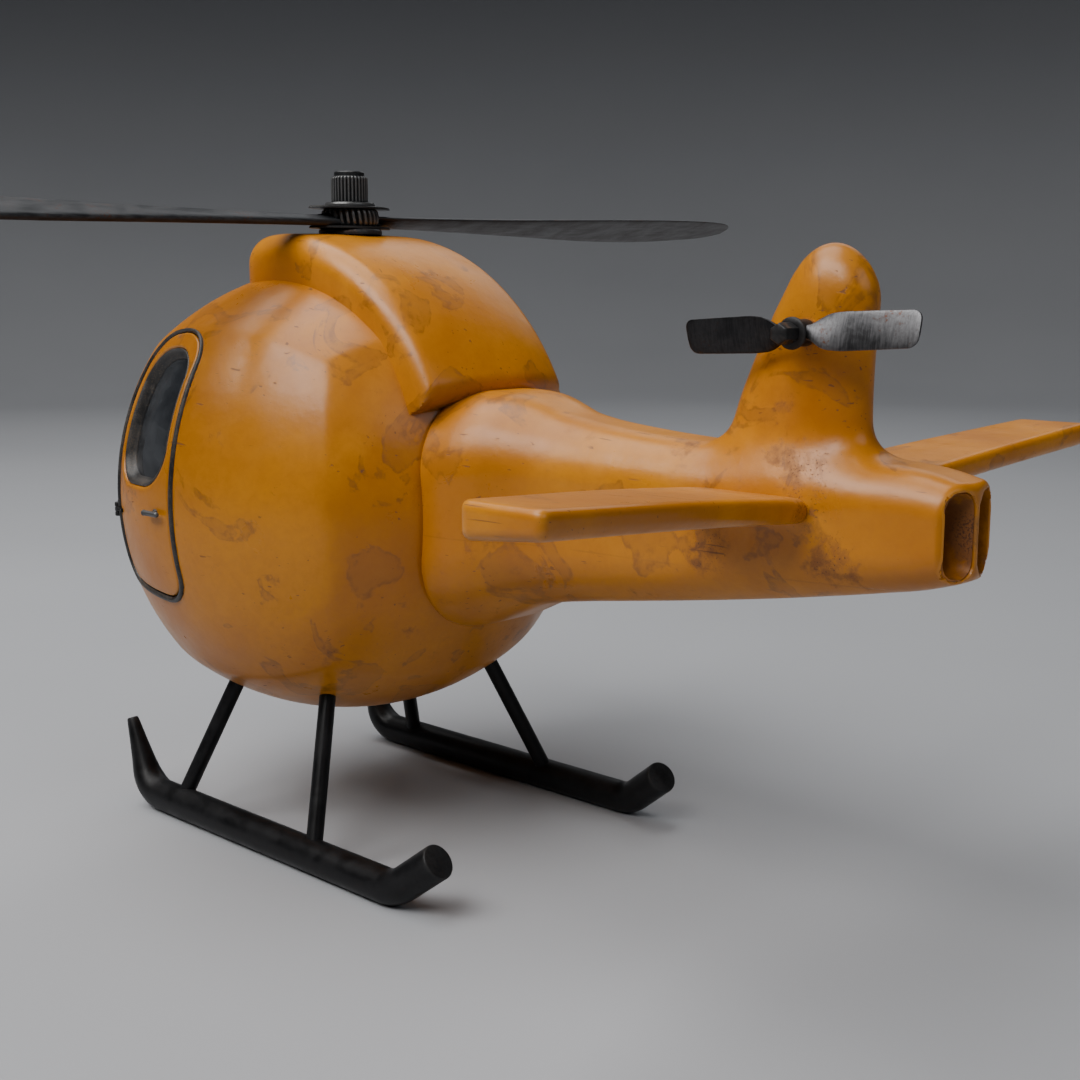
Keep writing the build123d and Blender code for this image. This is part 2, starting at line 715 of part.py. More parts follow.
with BuildPart() as hub_cap:
    with BuildSketch(Plane((mast_x, 0, upper_yoke[1]))):
        Circle(cap_r)
        Circle(mast_r, mode=Mode.SUBTRACT)
    extrude(amount=cap_top - upper_yoke[1])
    fillet(hub_cap.edges().group_by(Axis.Z)[-1].sort_by(SortBy.LENGTH)[-1], 0.35)
save(hub_cap.part, "hub_cap")

with BuildPart() as rotor_knob:
    with BuildSketch(Plane((mast_x, 0, cap_top))):
        Circle(knob_r)
        with PolarLocations(knob_r + 0.06, knob_flutes):
            Circle(0.22, mode=Mode.SUBTRACT)
    extrude(amount=knob_top - knob_chamfer - cap_top)
    with BuildSketch(Plane((mast_x, 0, knob_top - knob_chamfer))):
        Circle(knob_cap_r)
    extrude(amount=knob_chamfer)
    with BuildSketch(Plane((mast_x, 0, cap_top))):
        Circle(mast_r)
    extrude(amount=knob_bore, mode=Mode.SUBTRACT)
save(rotor_knob.part, "rotor_knob")


# ---------------------------------------------------------------- tail rotor
def tail_disc(low, high, outer, inner):
    """A round disc on the tail rotor's axis, between two distances from the middle plane."""
    with BuildPart() as shape:
        with BuildSketch(Plane((tail_axis_x, low, tail_axis_z), z_dir=(0, 1, 0))):
            Circle(outer)
            if inner:
                Circle(inner, mode=Mode.SUBTRACT)
        extrude(amount=high - low)
    return shape.part


nut_face = -tail_bush_face - 0.05
with BuildPart() as tail_shaft:
    add(tail_disc(nut_face - tail_nut_length + 0.3, tail_washer_top, tail_shaft_r, 0))
    with BuildSketch(Plane((tail_axis_x, tail_washer_top, tail_axis_z), z_dir=(0, 1, 0))):
        RegularPolygon(tail_bolt_r, 6)
    extrude(amount=tail_bolt_top - tail_washer_top)
    fillet(tail_shaft.edges().group_by(Axis.Y)[-1], 0.25)
save(tail_shaft.part, "tail_shaft")

with BuildPart() as tail_nut:
    add(tail_disc(nut_face - tail_nut_length, nut_face, tail_nut_r, 0))
    add(tail_disc(nut_face - tail_nut_length + 0.3, nut_face, tail_shaft_r, 0), mode=Mode.SUBTRACT)
    fillet(tail_nut.edges().group_by(Axis.Y)[0], 0.3)
save(tail_nut.part, "tail_nut")

tail_axis = Axis((tail_axis_x, 0, tail_axis_z), (0, 1, 0))
tail_blades = {}
for side, end in ((1, "front"), (-1, "rear")):
    with BuildPart() as tail_blade:
        for out, share in tail_blade_shape:
            plane = Plane((tail_axis_x + side * out, tail_blade_y, tail_axis_z),
                          x_dir=(0, 0, 1), z_dir=(side, 0, 0))
            with BuildSketch(plane):
                with Locations(Location((0, 0), tail_blade_pitch)):
                    Ellipse(tail_blade_chord * share / 2, tail_blade_thick / 2)
        loft()
        add(tail_disc(0, tail_bolt_top, tail_shaft_r, 0), mode=Mode.SUBTRACT)
    turned_blade = tail_blade.part.rotate(tail_axis, tail_rest_turn)
    tail_blades[end] = turned_blade
    save(turned_blade, f"tail_blade_{end}")

with BuildPart() as tail_hub:
    add(tail_disc(*tail_hub_span, tail_hub_r, tail_shaft_r))
    for tail_blade in tail_blades.values():
        add(tail_blade, mode=Mode.SUBTRACT)
save(tail_hub.part, "tail_hub")

with BuildPart() as tail_washer:
    add(tail_disc(tail_hub_span[1], tail_washer_top, tail_washer_r, tail_shaft_r))
    fillet(tail_washer.edges().group_by(Axis.Y)[-1].sort_by(SortBy.LENGTH)[-1], 0.3)
save(tail_washer.part, "tail_washer")
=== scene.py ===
import itertools
import json
import math
from functools import partial

import bmesh
import bpy
import numpy as np
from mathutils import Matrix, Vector


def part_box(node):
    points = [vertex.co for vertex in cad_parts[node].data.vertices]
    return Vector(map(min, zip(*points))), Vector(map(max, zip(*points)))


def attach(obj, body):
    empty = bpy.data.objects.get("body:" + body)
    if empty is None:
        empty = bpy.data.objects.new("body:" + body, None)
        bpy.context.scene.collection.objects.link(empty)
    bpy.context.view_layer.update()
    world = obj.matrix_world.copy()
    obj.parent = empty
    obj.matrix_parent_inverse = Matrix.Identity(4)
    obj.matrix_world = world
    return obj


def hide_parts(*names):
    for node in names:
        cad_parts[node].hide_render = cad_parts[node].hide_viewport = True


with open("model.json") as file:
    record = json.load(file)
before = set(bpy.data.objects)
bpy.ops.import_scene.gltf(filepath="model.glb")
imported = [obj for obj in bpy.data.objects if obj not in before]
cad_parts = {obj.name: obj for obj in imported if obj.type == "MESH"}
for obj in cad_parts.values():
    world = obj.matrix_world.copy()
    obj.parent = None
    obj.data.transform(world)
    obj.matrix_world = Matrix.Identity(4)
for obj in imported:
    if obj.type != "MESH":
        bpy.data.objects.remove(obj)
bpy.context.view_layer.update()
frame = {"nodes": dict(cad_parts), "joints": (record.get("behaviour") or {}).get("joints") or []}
nodes = frame["nodes"]
joints = {j["name"]: j for j in frame["joints"]}

# ---------------- places and sizes, in mm
SIDES = {1: "port", -1: "starboard"}
skin_r = 49.5                                    # the CAD pod is a true ball
pod_half, crease, sharp = 49.3, 0.145, 70.0      # the visible pod is pressed a little towards a cube
pod_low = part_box("pod_shell_port")[0]
pod = np.array([pod_low.x * 1000 + skin_r, 0.0, pod_low.z * 1000 + skin_r])
mast_x = joints["main_rotor_spin"]["pos_m"][0] * 1000
tail_x, _, tail_z = [1000 * v for v in joints["tail_rotor_spin"]["pos_m"]]
hinge_x, hinge_y, _ = [abs(1000 * v) for v in joints["door_port_swing"]["pos_m"]]
handle_x, _, handle_z = [1000 * v for v in joints["handle_port_turn"]["pos_m"]]
seam_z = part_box("boom_lower_shell")[1].z * 1000

# rounded outlines on the pod's skin: across, up, and the radii of the low and the high corners
door_outline = (-2.4, 27.5), (-20.6, 48.0), (6.5, 13.0)
window_outline = (0.0, 25.0), (4.0, 41.5), (9.0, 11.0)
screen_outline = (-33.0, 33.0), (-6.0, 43.0), (15.0, 15.0)
door_middle, window_middle, screen_middle = (12.5, 14.0), (12.5, 22.75), (0.0, 18.5)


# ---------------- distance fields
def rounded_both(a, b, r):
    """Inside both a and b, with the edge between them rounded to radius r."""
    a, b = a + r, b + r
    return np.minimum(np.maximum(a, b), 0) + np.hypot(np.maximum(a, 0), np.maximum(b, 0)) - r


def blend(a, b, k):
    """Either a or b, with the inner corner between them filled over a width k."""
    h = np.clip(0.5 + 0.5 * (b - a) / k, 0, 1)
    return b * (1 - h) + a * h - k * h * (1 - h)


def ease(x, xs, ys):
    """A smooth curve through the points (xs, ys), held level past its ends."""
    xs, ys = np.array(xs, float), np.array(ys, float)
    slope = np.gradient(ys, xs)
    x = np.clip(x, xs[0], xs[-1])
    i = np.clip(np.searchsorted(xs, x) - 1, 0, len(xs) - 2)
    gap = xs[i + 1] - xs[i]
    t = (x - xs[i]) / gap
    return ((1 + 2 * t) * (1 - t) ** 2 * ys[i] + t * (1 - t) ** 2 * gap * slope[i]
            + t * t * (3 - 2 * t) * ys[i + 1] + t * t * (t - 1) * gap * slope[i + 1])


def pod_norm(x, y, z):
    """A rounded cube's norm: nearly a sphere, with soft creases where its six faces meet."""
    ax, ay, az = abs(x), abs(y), abs(z)
    top = np.maximum(np.maximum(ax, ay), az) + 1e-9
    cube = top * ((ax / top) ** sharp + (ay / top) ** sharp + (az / top) ** sharp) ** (1 / sharp)
    return (1 - crease) * np.sqrt(x * x + y * y + z * z) + crease * cube


def pod_field(x, y, z):
    return pod_norm(x - pod[0], y, z - pod[2]) - pod_half


def outline_field(u, w, outline, grow=0.0):
    """Distance to a rounded outline with one radius at its low corners and one at its high ones."""
    us, ws, radii = outline
    mid_u, mid_w = sum(us) / 2, sum(ws) / 2
    r = np.where(w < mid_w, radii[0], radii[1])
    a = abs(u - mid_u) - (us[1] - us[0]) / 2 + r
    b = abs(w - mid_w) - (ws[1] - ws[0]) / 2 + r
    return np.hypot(np.maximum(a, 0), np.maximum(b, 0)) + np.minimum(np.maximum(a, b), 0) - r - grow


def graded(lowest, highest, step, fine_step, *fine_spans):
    """Grid lines a step apart, and closer together inside the fine spans."""
    line = [lowest - step]
    while line[-1] < highest + step:
        fine = any(a <= line[-1] <= b for a, b in fine_spans)
        line.append(line[-1] + (fine_step if fine else step))
    return np.array(line)


def even_axes(lowest, highest, step):
    return [graded(a, b, step, step) for a, b in zip(lowest, highest)]


def surface(field, axes, step):
    """Points and quads of the surface where the field is zero. The field is negative inside."""
    value = field(*np.meshgrid(*axes, indexing="ij"))
    inside = value < 0
    size = [len(a) for a in axes]

    def corner(offset):
        return tuple(slice(o, size[k] - 1 + o) for k, o in enumerate(offset))

    offsets = list(itertools.product((0, 1), repeat=3))
    count = sum(inside[corner(o)].astype(np.int8) for o in offsets)
    mixed = (count > 0) & (count < 8)
    cells = np.argwhere(mixed)
    index = -np.ones(mixed.shape, int)
    index[mixed] = np.arange(len(cells))
    total, hits = np.zeros((len(cells), 3)), np.zeros((len(cells), 1))
    for o in offsets:
        for k in range(3):
            if o[k] == 0:
                p = list(o)
                p[k] = 1
                a, b = value[corner(o)][mixed], value[corner(p)][mixed]
                cross = (a < 0) != (b < 0)
                t = a[cross] / (a[cross] - b[cross])
                crossing = np.tile(np.array(o, float), (cross.sum(), 1))
                crossing[:, k] = t
                total[cross] += crossing
                hits[cross] += 1
    place = cells + total / hits
    points = np.stack([np.interp(place[:, k], np.arange(size[k]), axes[k]) for k in range(3)], 1)
    quads = []
    for a in range(3):
        b, c = (a + 1) % 3, (a + 2) % 3
        first, second = [slice(None)] * 3, [slice(None)] * 3
        first[a], second[a] = slice(0, -1), slice(1, None)
        e = np.argwhere(inside[tuple(first)] != inside[tuple(second)])
        e = e[(e[:, b] > 0) & (e[:, c] > 0) & (e[:, b] < size[b] - 1) & (e[:, c] < size[c] - 1)]
        corners = []
        for back_b, back_c in ((1, 1), (0, 1), (0, 0), (1, 0)):
            f = e.copy()
            f[:, b] -= back_b
            f[:, c] -= back_c
            corners.append(index[tuple(f.T)])
        q = np.stack(corners, 1)
        out = ~inside[tuple(e.T)]
        q[out] = q[out][:, ::-1]
        quads.append(q)
    quads = np.concatenate(quads)
    for turn in range(4):
        if turn:
            points += relaxed(points, quads) * 0.5
        points = onto(field, points, step)
    return points, quads


def onto(field, points, step):
    """Moves points to where the field is zero, in steps short enough not to overshoot."""
    eps, least_slope, longest = 0.02, 0.05, 0.6 * step
    for _ in range(2):
        here = field(*points.T)
        slope = np.stack([(field(*(points + d).T) - field(*(points - d).T)) / (2 * eps)
                          for d in np.eye(3) * eps], 1)
        move = -here[:, None] * slope / np.maximum((slope ** 2).sum(1, keepdims=True), least_slope)
        length = np.linalg.norm(move, axis=1, keepdims=True)
        points = points + move * np.minimum(1, longest / np.maximum(length, 1e-9))
    return points


def relaxed(points, quads):
    """How far each point is from the middle of its neighbours."""
    pairs = np.concatenate([quads[:, [k, (k + 1) % 4]] for k in range(4)])
    pairs = np.concatenate([pairs, pairs[:, ::-1]])
    total, count = np.zeros_like(points), np.zeros((len(points), 1))
    np.add.at(total, pairs[:, 0], points[pairs[:, 1]])
    np.add.at(count, pairs[:, 0], 1)
    return total / np.maximum(count, 1) - points


# ---------------- making pieces
def mesh_object(name, points, faces):
    """A linked object whose mesh has these points, given in mm."""
    mesh = bpy.data.meshes.new(name)
    mesh.from_pydata((np.asarray(points, float) / 1000).tolist(), [], [tuple(f) for f in faces])
    obj = bpy.data.objects.new(name, mesh)
    bpy.context.scene.collection.objects.link(obj)
    return obj


def piece(name, points, faces, material, body="airframe", **rest):
    """One mesh object riding on a body of the frame."""
    obj = mesh_object(name, points, faces)
    obj.data.validate()
    finish_piece(obj, material, body, **rest)
    return obj


def finish_piece(obj, material, body="airframe", stands_for=None, slot=None, angle=40):
    """Gives a mesh its smoothing, material and body, and hides the CAD node that it stands for."""
    mesh = obj.data
    smooth(mesh)
    mesh.set_sharp_from_angle(angle=math.radians(angle))
    mesh.materials.append(material)
    if "bend" not in mesh.attributes:
        bend_attribute(mesh)
    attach(obj, body)
    if stands_for:
        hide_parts(stands_for)


def smooth(mesh):
    mesh.polygons.foreach_set("use_smooth", [True] * len(mesh.polygons))


def bend_attribute(mesh):
    """Stores how sharply the surface bends at each point, per mm: above 0 on edges, below 0 in corners."""
    count = len(mesh.vertices)
    place, normal = np.zeros(count * 3), np.zeros(count * 3)
    mesh.vertices.foreach_get("co", place)
    mesh.vertices.foreach_get("normal", normal)
    place, normal = place.reshape(-1, 3) * 1000, normal.reshape(-1, 3)
    edges = np.zeros(len(mesh.edges) * 2, int)
    mesh.edges.foreach_get("vertices", edges)
    a, b = edges.reshape(-1, 2).T
    along = place[b] - place[a]
    bend = ((normal[b] - normal[a]) * along).sum(1) / np.maximum((along ** 2).sum(1), 1e-4)
    uses = np.maximum(np.bincount(a, minlength=count) + np.bincount(b, minlength=count), 1)
    value = (np.bincount(a, bend, count) + np.bincount(b, bend, count)) / uses
    for _ in range(2):
        value = (np.bincount(a, value[b], count) + np.bincount(b, value[a], count)) / uses
    mesh.attributes.new("bend", "FLOAT", "POINT").data.foreach_set(
        "value", np.clip(value, -2, 2).astype(np.float32))


def cut_in_two(points, faces, axis, at, material, parts):
    """The same closed mesh as two pieces of the airframe: the side above a plane, then the side below it."""
    for up, (name, node) in zip((1, -1), parts):
        obj = mesh_object(name, points, faces)
        bend_attribute(obj.data)
        bm = bmesh.new()
        bm.from_mesh(obj.data)
        cut = bmesh.ops.bisect_plane(bm, geom=bm.verts[:] + bm.edges[:] + bm.faces[:], dist=1e-6,
                                     plane_co=np.eye(3)[axis] * at / 1000, plane_no=np.eye(3)[axis] * up,
                                     clear_inner=True)
        rim = [g for g in cut["geom_cut"] if isinstance(g, bmesh.types.BMEdge)]
        bmesh.ops.triangle_fill(bm, edges=rim, use_beauty=True)
        bmesh.ops.recalc_face_normals(bm, faces=bm.faces[:])
        bm.to_mesh(obj.data)
        bm.free()
        finish_piece(obj, material, stands_for=node)


def rows_to_faces(count, width, wrap=True):
    """Quads between rows of points, each row a closed loop."""
    faces = []
    for i in range(count if wrap else count - 1):
        a, b = i * width, ((i + 1) % count) * width
        for j in range(width):
            k = (j + 1) % width
            faces.append((a + j, a + k, b + k, b + j))
    return faces


def loops(name, rows, material, body="airframe", wrap=True, caps=(), flip=False, **rest):
    """A piece lofted through closed rows of points. Each cap is the middle point of an open end."""
    width = len(rows[0])
    points = np.concatenate([np.asarray(r, float) for r in rows])
    faces = rows_to_faces(len(rows), width, wrap)
    for at_end, middle in zip((False, True), caps):
        tip = len(points)
        points = np.concatenate([points, [middle]])
        start = (len(rows) - 1) * width if at_end else 0
        for j in range(width):
            k = (j + 1) % width
            faces.append((tip, start + j, start + k) if at_end else (tip, start + k, start + j))
    if flip:
        faces = [f[::-1] for f in faces]
    return piece(name, points, faces, material, body, **rest)


def open_loops(name, rows, material, body="airframe", **rest):
    """A piece lofted through rows of points, closed at both ends."""
    return loops(name, rows, material, body, wrap=False, caps=(rows[0].mean(0), rows[-1].mean(0)), **rest)


def turned(name, profile, axis, at, material, body="airframe", count=64, wave=None, **rest):
    """A turned piece from (radius, distance along the axis). wave(angle, radius, k) changes the radius."""
    angles = np.linspace(0, 2 * math.pi, count, endpoint=False)
    rows = []
    for k, (r, h) in enumerate(profile):
        rr = np.full(count, float(r)) if wave is None else wave(angles, r, k)
        c, s = rr * np.cos(angles), rr * np.sin(angles)
        if axis == 2:
            rows.append(np.stack([at[0] + c, at[1] + s, np.full(count, at[2] + h)], 1))
        else:
            rows.append(np.stack([at[0] + s, np.full(count, at[1] + h), at[2] + c], 1))
    ends = [np.add(at, np.eye(3)[axis] * h) for _, h in (profile[0], profile[-1])]
    return loops(name, rows, material, body, wrap=False, caps=ends, **rest)


def tube(name, path, radii, material, body="airframe", around=40, round_ends=0.0, **rest):
    """A round bar along a path of points, with a small rounding where its ends are cut."""
    path = np.asarray(path, float)
    along = np.gradient(path, axis=0)
    along /= np.linalg.norm(along, axis=1, keepdims=True)
    if round_ends:
        turns = np.radians([90, 60, 30, 0])
        back, less = round_ends * (1 - np.cos(turns)), round_ends * (1 - np.sin(turns))
        start = path[0] + along[0] * back[::-1, None]
        end = path[-1] - along[-1] * back[:, None]
        path = np.concatenate([start, path[1:-1], end])
        radii = np.concatenate([radii[0] - less[::-1], radii[1:-1], radii[-1] - less])
        along = np.concatenate([np.tile(along[0], (4, 1)), along[1:-1], np.tile(along[-1], (4, 1))])
    side = np.cross(along[0], [0.13, 0.21, 0.97])
    side /= np.linalg.norm(side)
    angles = np.linspace(0, 2 * math.pi, around, endpoint=False)
    rows = []
    for p, d, r in zip(path, along, radii):
        side = side - d * side.dot(d)
        side /= np.linalg.norm(side)
        other = np.cross(d, side)
        rows.append(p + r * (np.cos(angles)[:, None] * side + np.sin(angles)[:, None] * other))
    return loops(name, rows, material, body, wrap=False, caps=(path[0], path[-1]), **rest)


# ---------------- materials
def new_material(name):
    material = bpy.data.materials.new(name)
    material.use_nodes = True
    material.node_tree.nodes.clear()
    return material, material.node_tree


def add(tree, kind, inputs=None, **settings):
    node = tree.nodes.new("ShaderNode" + kind)
    for key, value in settings.items():
        setattr(node, key, value)
    for key, value in (inputs or {}).items():
        if isinstance(value, bpy.types.NodeSocket):
            tree.links.new(value, node.inputs[key])
        else:
            node.inputs[key].default_value = value
    return node


def calc(tree, operation, *values):
    return add(tree, "Math", dict(enumerate(values)), operation=operation).outputs[0]


def times(tree, a, b):
    return calc(tree, "MULTIPLY", a, b)


def weighted(tree, *pairs):
    """The sum of values, each times its own weight."""
    total = times(tree, *pairs[0])
    for value, weight in pairs[1:]:
        total = calc(tree, "MULTIPLY_ADD", value, weight, total)
    return total


def either(tree, *values):
    """The largest of the values."""
    total = values[0]
    for value in values[1:]:
        total = calc(tree, "MAXIMUM", total, value)
    return total


def noise(tree, vector, scale, detail=4.0, rough=0.55, twist=0.0):
    return add(tree, "TexNoise", {"Vector": vector, "Scale": scale, "Detail": detail, "Roughness": rough,
                                  "Distortion": twist}).outputs[0]


def between(tree, value, start, end, low=0.0, high=1.0):
    return add(tree, "MapRange", {0: value, 1: start, 2: end, 3: low, 4: high}, clamp=True,
               interpolation_type="SMOOTHSTEP").outputs[0]


def mix(tree, share, first, second):
    return add(tree, "Mix", {0: share, 6: first, 7: second}, data_type="RGBA").outputs[2]


def wash(tree, colour, over, share, strength=1.0):
    """The colour with another one laid over it."""
    return mix(tree, times(tree, share, strength), colour, (*over, 1))


def shaped(tree, vector, factors=(1, 1, 1), turn=(0, 0, 0), move=(0, 0, 0)):
    inputs = {"Vector": vector, "Location": move, "Rotation": turn, "Scale": factors}
    return add(tree, "Mapping", inputs).outputs[0]


def in_mm(tree):
    place = add(tree, "TexCoord").outputs["Object"]
    return add(tree, "VectorMath", {0: place, 3: 1000.0}, operation="SCALE").outputs[0]


def bump(tree, height, strength, distance, below=None):
    inputs = {"Height": height, "Strength": strength, "Distance": distance}
    if below is not None:
        inputs["Normal"] = below
    return add(tree, "Bump", inputs).outputs[0]


def surface_shader(tree, **inputs):
    shader = add(tree, "BsdfPrincipled", {k.replace("_", " "): v for k, v in inputs.items()})
    add(tree, "OutputMaterial", {"Surface": shader.outputs[0]})
    return shader


def near(tree, place, centre, reach):
    """1 at a point of the object, falling to 0 at a distance, in mm."""
    gap = add(tree, "VectorMath", {0: place, 1: centre}, operation="DISTANCE").outputs["Value"]
    return between(tree, gap, reach, reach * 0.15)


def height_of(tree, vector):
    return add(tree, "SeparateXYZ", {0: vector}).outputs["Z"]


def bend_of(tree):
    return add(tree, "Attribute", attribute_name="bend").outputs["Fac"]


def scratch_marks(t, place):
    """Long thin marks in three directions, each only in some areas."""
    marks = []
    for turn, move in (((0.3, 0.2, 0.5), 0), ((1.2, 0.4, -0.7), 40), ((0.6, -1.0, 0.2), 90)):
        thin = noise(t, shaped(t, place, (0.05, 1.3, 1.3), turn, (move, move, 0)), 1.0, 2, 0.4, 0.25)
        area = noise(t, shaped(t, place, move=(move, 5, move)), 0.06, 2, 0.5)
        marks.append(times(t, between(t, thin, 0.715, 0.735), between(t, area, 0.54, 0.62)))
    return either(t, *marks)


def paint_material(name, dirty, seam=None):
    """Yellow-orange enamel with stains, rust freckles, scratches and worn edges."""
    material, t = new_material(name)
    place, bend = in_mm(t), bend_of(t)
    broad = noise(t, place, 0.022, 3, 0.6, 0.4)
    cloud = noise(t, place, 0.075, 7, 0.62, 0.5)
    fine = noise(t, place, 0.55, 6, 0.65, 0.3)
    tiny = noise(t, place, 2.4, 4, 0.6)
    colour = mix(t, between(t, broad, 0.36, 0.64), (0.42, 0.140, 0.0016, 1), (0.55, 0.204, 0.0026, 1))
    colour = wash(t, colour, (0.35, 0.106, 0.002), between(t, fine, 0.3, 0.75), 0.30)

    # old water stains: a slightly browner inside with a darker, patchy rim
    shape = noise(t, shaped(t, place, move=(31, 7, 12)), 0.062, 5, 0.5, 0.9)
    inside = between(t, shape, 0.575, 0.60)
    rim = times(t, times(t, inside, between(t, shape, 0.635, 0.60)), between(t, fine, 0.35, 0.62))
    colour = wash(t, colour, (0.17, 0.066, 0.022), inside, 0.22)
    colour = wash(t, colour, (0.13, 0.05, 0.016), rim, 0.42)

    # grime and rust: in corners, near the joints and in scattered freckles
    around = either(t, *[near(t, place, centre, reach) for centre, reach in dirty])
    corner, drift = between(t, bend, -0.03, -0.30), between(t, cloud, 0.50, 0.74)
    rusty = weighted(t, (around, 0.24), (corner, 0.20), (drift, 0.12))
    grime = between(t, weighted(t, (cloud, 0.6), (fine, 0.4), (rusty, 1.0)), 0.64, 0.84)
    colour = wash(t, colour, (0.105, 0.044, 0.030), grime, 0.60)
    area = between(t, noise(t, shaped(t, place, move=(3, 50, 9)), 0.09, 4, 0.6), 0.50, 0.66)
    freckle = between(t, weighted(t, (tiny, 1.0), (rusty, 0.42)), 0.705, 0.745)
    freckle = times(t, freckle, either(t, area, around))
    colour = wash(t, colour, (0.05, 0.018, 0.010), freckle, 0.8)

    marks = scratch_marks(t, place)
    colour = wash(t, colour, (0.11, 0.042, 0.02), marks, 0.7)

    # paint rubbed thin and chipped on the outer edges
    worn = between(t, weighted(t, (bend, 1.0), (fine, 0.9)), 0.75, 1.20)
    colour = wash(t, colour, (0.78, 0.36, 0.06), worn, 0.22)
    chipped = between(t, weighted(t, (tiny, 1.0), (calc(t, "MINIMUM", bend, 0.5), 0.35)), 0.84, 0.88)
    colour = wash(t, colour, (0.09, 0.045, 0.028), chipped, 0.75)
    if seam is not None:
        off = calc(t, "ABSOLUTE", calc(t, "SUBTRACT", height_of(t, place), seam))
        line = times(t, between(t, off, 0.24, 0.05), between(t, cloud, 0.40, 0.60))
        colour = wash(t, colour, (0.12, 0.045, 0.015), line, 0.22)

    smooth_rough = between(t, cloud, 0.3, 0.7, 0.27, 0.38)
    rough = weighted(t, (smooth_rough, 1.0), (either(t, grime, freckle), 0.30), (marks, 0.2))
    normal = bump(t, noise(t, place, 0.32, 3, 0.5), 0.10, 0.0006)
    normal = bump(t, weighted(t, (fine, 0.5), (marks, -0.8)), 0.16, 0.00025, normal)
    normal = bump(t, weighted(t, (freckle, 1.0), (grime, tiny)), 0.30, 0.00008, normal)
    surface_shader(t, Base_Color=colour, Roughness=rough, Normal=normal, Specular_IOR_Level=0.46)
    return material


def metal_material(name, dark, light, metallic=0.85, rough=(0.32, 0.5), grain=(1, 1, 1), grain_scale=1.2,
                   rust=0.0, edge=(0.45, 0.45, 0.46), edge_share=0.6, streak=0.5, shine=0.5, rust_and_shade_below=0.0):
    """Bare or oiled metal with grain, stains and lighter edges (rubbed bright; on the front tail blade a
    painted highlight), and on what faces down a dark brown that is partly rust and partly painted shade.
    """
    material, t = new_material(name)
    place = in_mm(t)
    cloud = noise(t, place, 0.16, 6, 0.62, 0.4)
    fine = noise(t, place, 1.6, 5, 0.6)
    lines = noise(t, shaped(t, place, grain), grain_scale, 5, 0.65)
    share = weighted(t, (cloud, 1 - streak), (lines, streak))
    colour = mix(t, between(t, share, 0.36, 0.64), (*dark, 1), (*light, 1))
    stain = between(t, weighted(t, (cloud, 0.6), (fine, 0.4)), 0.50, 0.66)
    colour = wash(t, colour, (dark[0] * 0.5, dark[1] * 0.46, dark[2] * 0.44), stain, 0.45)
    if rust:
        red = between(t, weighted(t, (fine, 0.5), (cloud, 0.5)), 0.60 - 0.16 * rust, 0.70 - 0.10 * rust)
        colour = wash(t, colour, (0.115, 0.040, 0.018), red, 0.85)
    # darker on what faces down: partly rust, partly painted shade on the underside
    if rust_and_shade_below:
        facing = height_of(t, add(t, "NewGeometry").outputs["Normal"])
        under = times(t, between(t, facing, 0.1, -0.5), between(t, cloud, 0.30, 0.62, 0.6, 1.0))
        colour = wash(t, colour, (0.016, 0.009, 0.006), under, rust_and_shade_below)
    # edges made lighter: mostly rubbed bright; the front tail blade's high edge share paints a highlight
    # along its edge
    worn = between(t, weighted(t, (bend_of(t), 1.0), (fine, 0.8)), 0.75, 1.40)
    colour = wash(t, colour, edge, worn, edge_share)
    normal = bump(t, fine, 0.16, 0.00005, bump(t, lines, 0.18, 0.00006))
    surface_shader(t, Base_Color=colour, Metallic=metallic, Roughness=between(t, share, 0.3, 0.7, *rough),
                   Normal=normal, Specular_IOR_Level=shine)
    return material


def glass_material(name):
    """Smoked plastic with a thin uneven film of dust."""
    material, t = new_material(name)
    place = in_mm(t)
    haze = noise(t, place, 0.10, 5, 0.55, 0.6)
    wipes = noise(t, shaped(t, place, (0.12, 0.12, 0.8), (0.5, 0.2, 0.3)), 0.7, 3, 0.5)
    film = between(t, weighted(t, (haze, 0.75), (wipes, 0.25)), 0.42, 0.68)
    colour = mix(t, film, (0.028, 0.031, 0.036, 1), (0.060, 0.065, 0.072, 1))
    surface_shader(t, Base_Color=colour, Roughness=between(t, film, 0, 1, 0.08, 0.22), IOR=1.5,
                   Transmission_Weight=0.30, Normal=bump(t, haze, 0.02, 0.0004), Specular_IOR_Level=0.6)
    return material


def rubber_material(name):
    """Black rubber with a little dust, and lighter on its edges."""
    material, t = new_material(name)
    place = in_mm(t)
    cloud = noise(t, place, 0.22, 6, 0.6)
    fine = noise(t, place, 3.0, 4, 0.6)
    colour = mix(t, between(t, cloud, 0.35, 0.68), (0.010, 0.010, 0.011, 1), (0.040, 0.037, 0.035, 1))
    dust = between(t, weighted(t, (fine, 1.0), (cloud, 0.4)), 0.70, 0.84)
    colour = wash(t, colour, (0.12, 0.085, 0.055), dust, 0.5)
    colour = wash(t, colour, (0.20, 0.19, 0.18), between(t, bend_of(t), 0.6, 1.6), 0.12)
    surface_shader(t, Base_Color=colour, Roughness=between(t, cloud, 0.3, 0.7, 0.36, 0.58),
                   Normal=bump(t, fine, 0.2, 0.00005))
    return material


dirty_places = [
    ((tail_x - 2, 7, tail_z - 23), 11), ((tail_x - 2, -7, tail_z - 23), 11),      # round the fin's foot
    ((tail_x - 4, 11, 83), 9), ((tail_x - 4, -11, 83), 9),                        # stabiliser roots
    ((tail_x - 8, 9, 75), 9), ((tail_x - 9, -9, 75), 9),
    ((tail_x + 16, 12, 73), 9), ((tail_x + 14, -12, 75), 9),
    ((tail_x, 6, tail_z), 7), ((-101, 0, 80), 7),
]
paint = paint_material("yellow_enamel", dirty_places)
paint_seamed = paint_material("yellow_enamel_boom", dirty_places, seam=seam_z)
black = metal_material("black_enamel", (0.004, 0.004, 0.0045), (0.011, 0.011, 0.012), metallic=0.0,
                       rough=(0.30, 0.50), edge=(0.05, 0.05, 0.05), edge_share=0.3, streak=0.2,
                       grain_scale=0.7, shine=0.2)
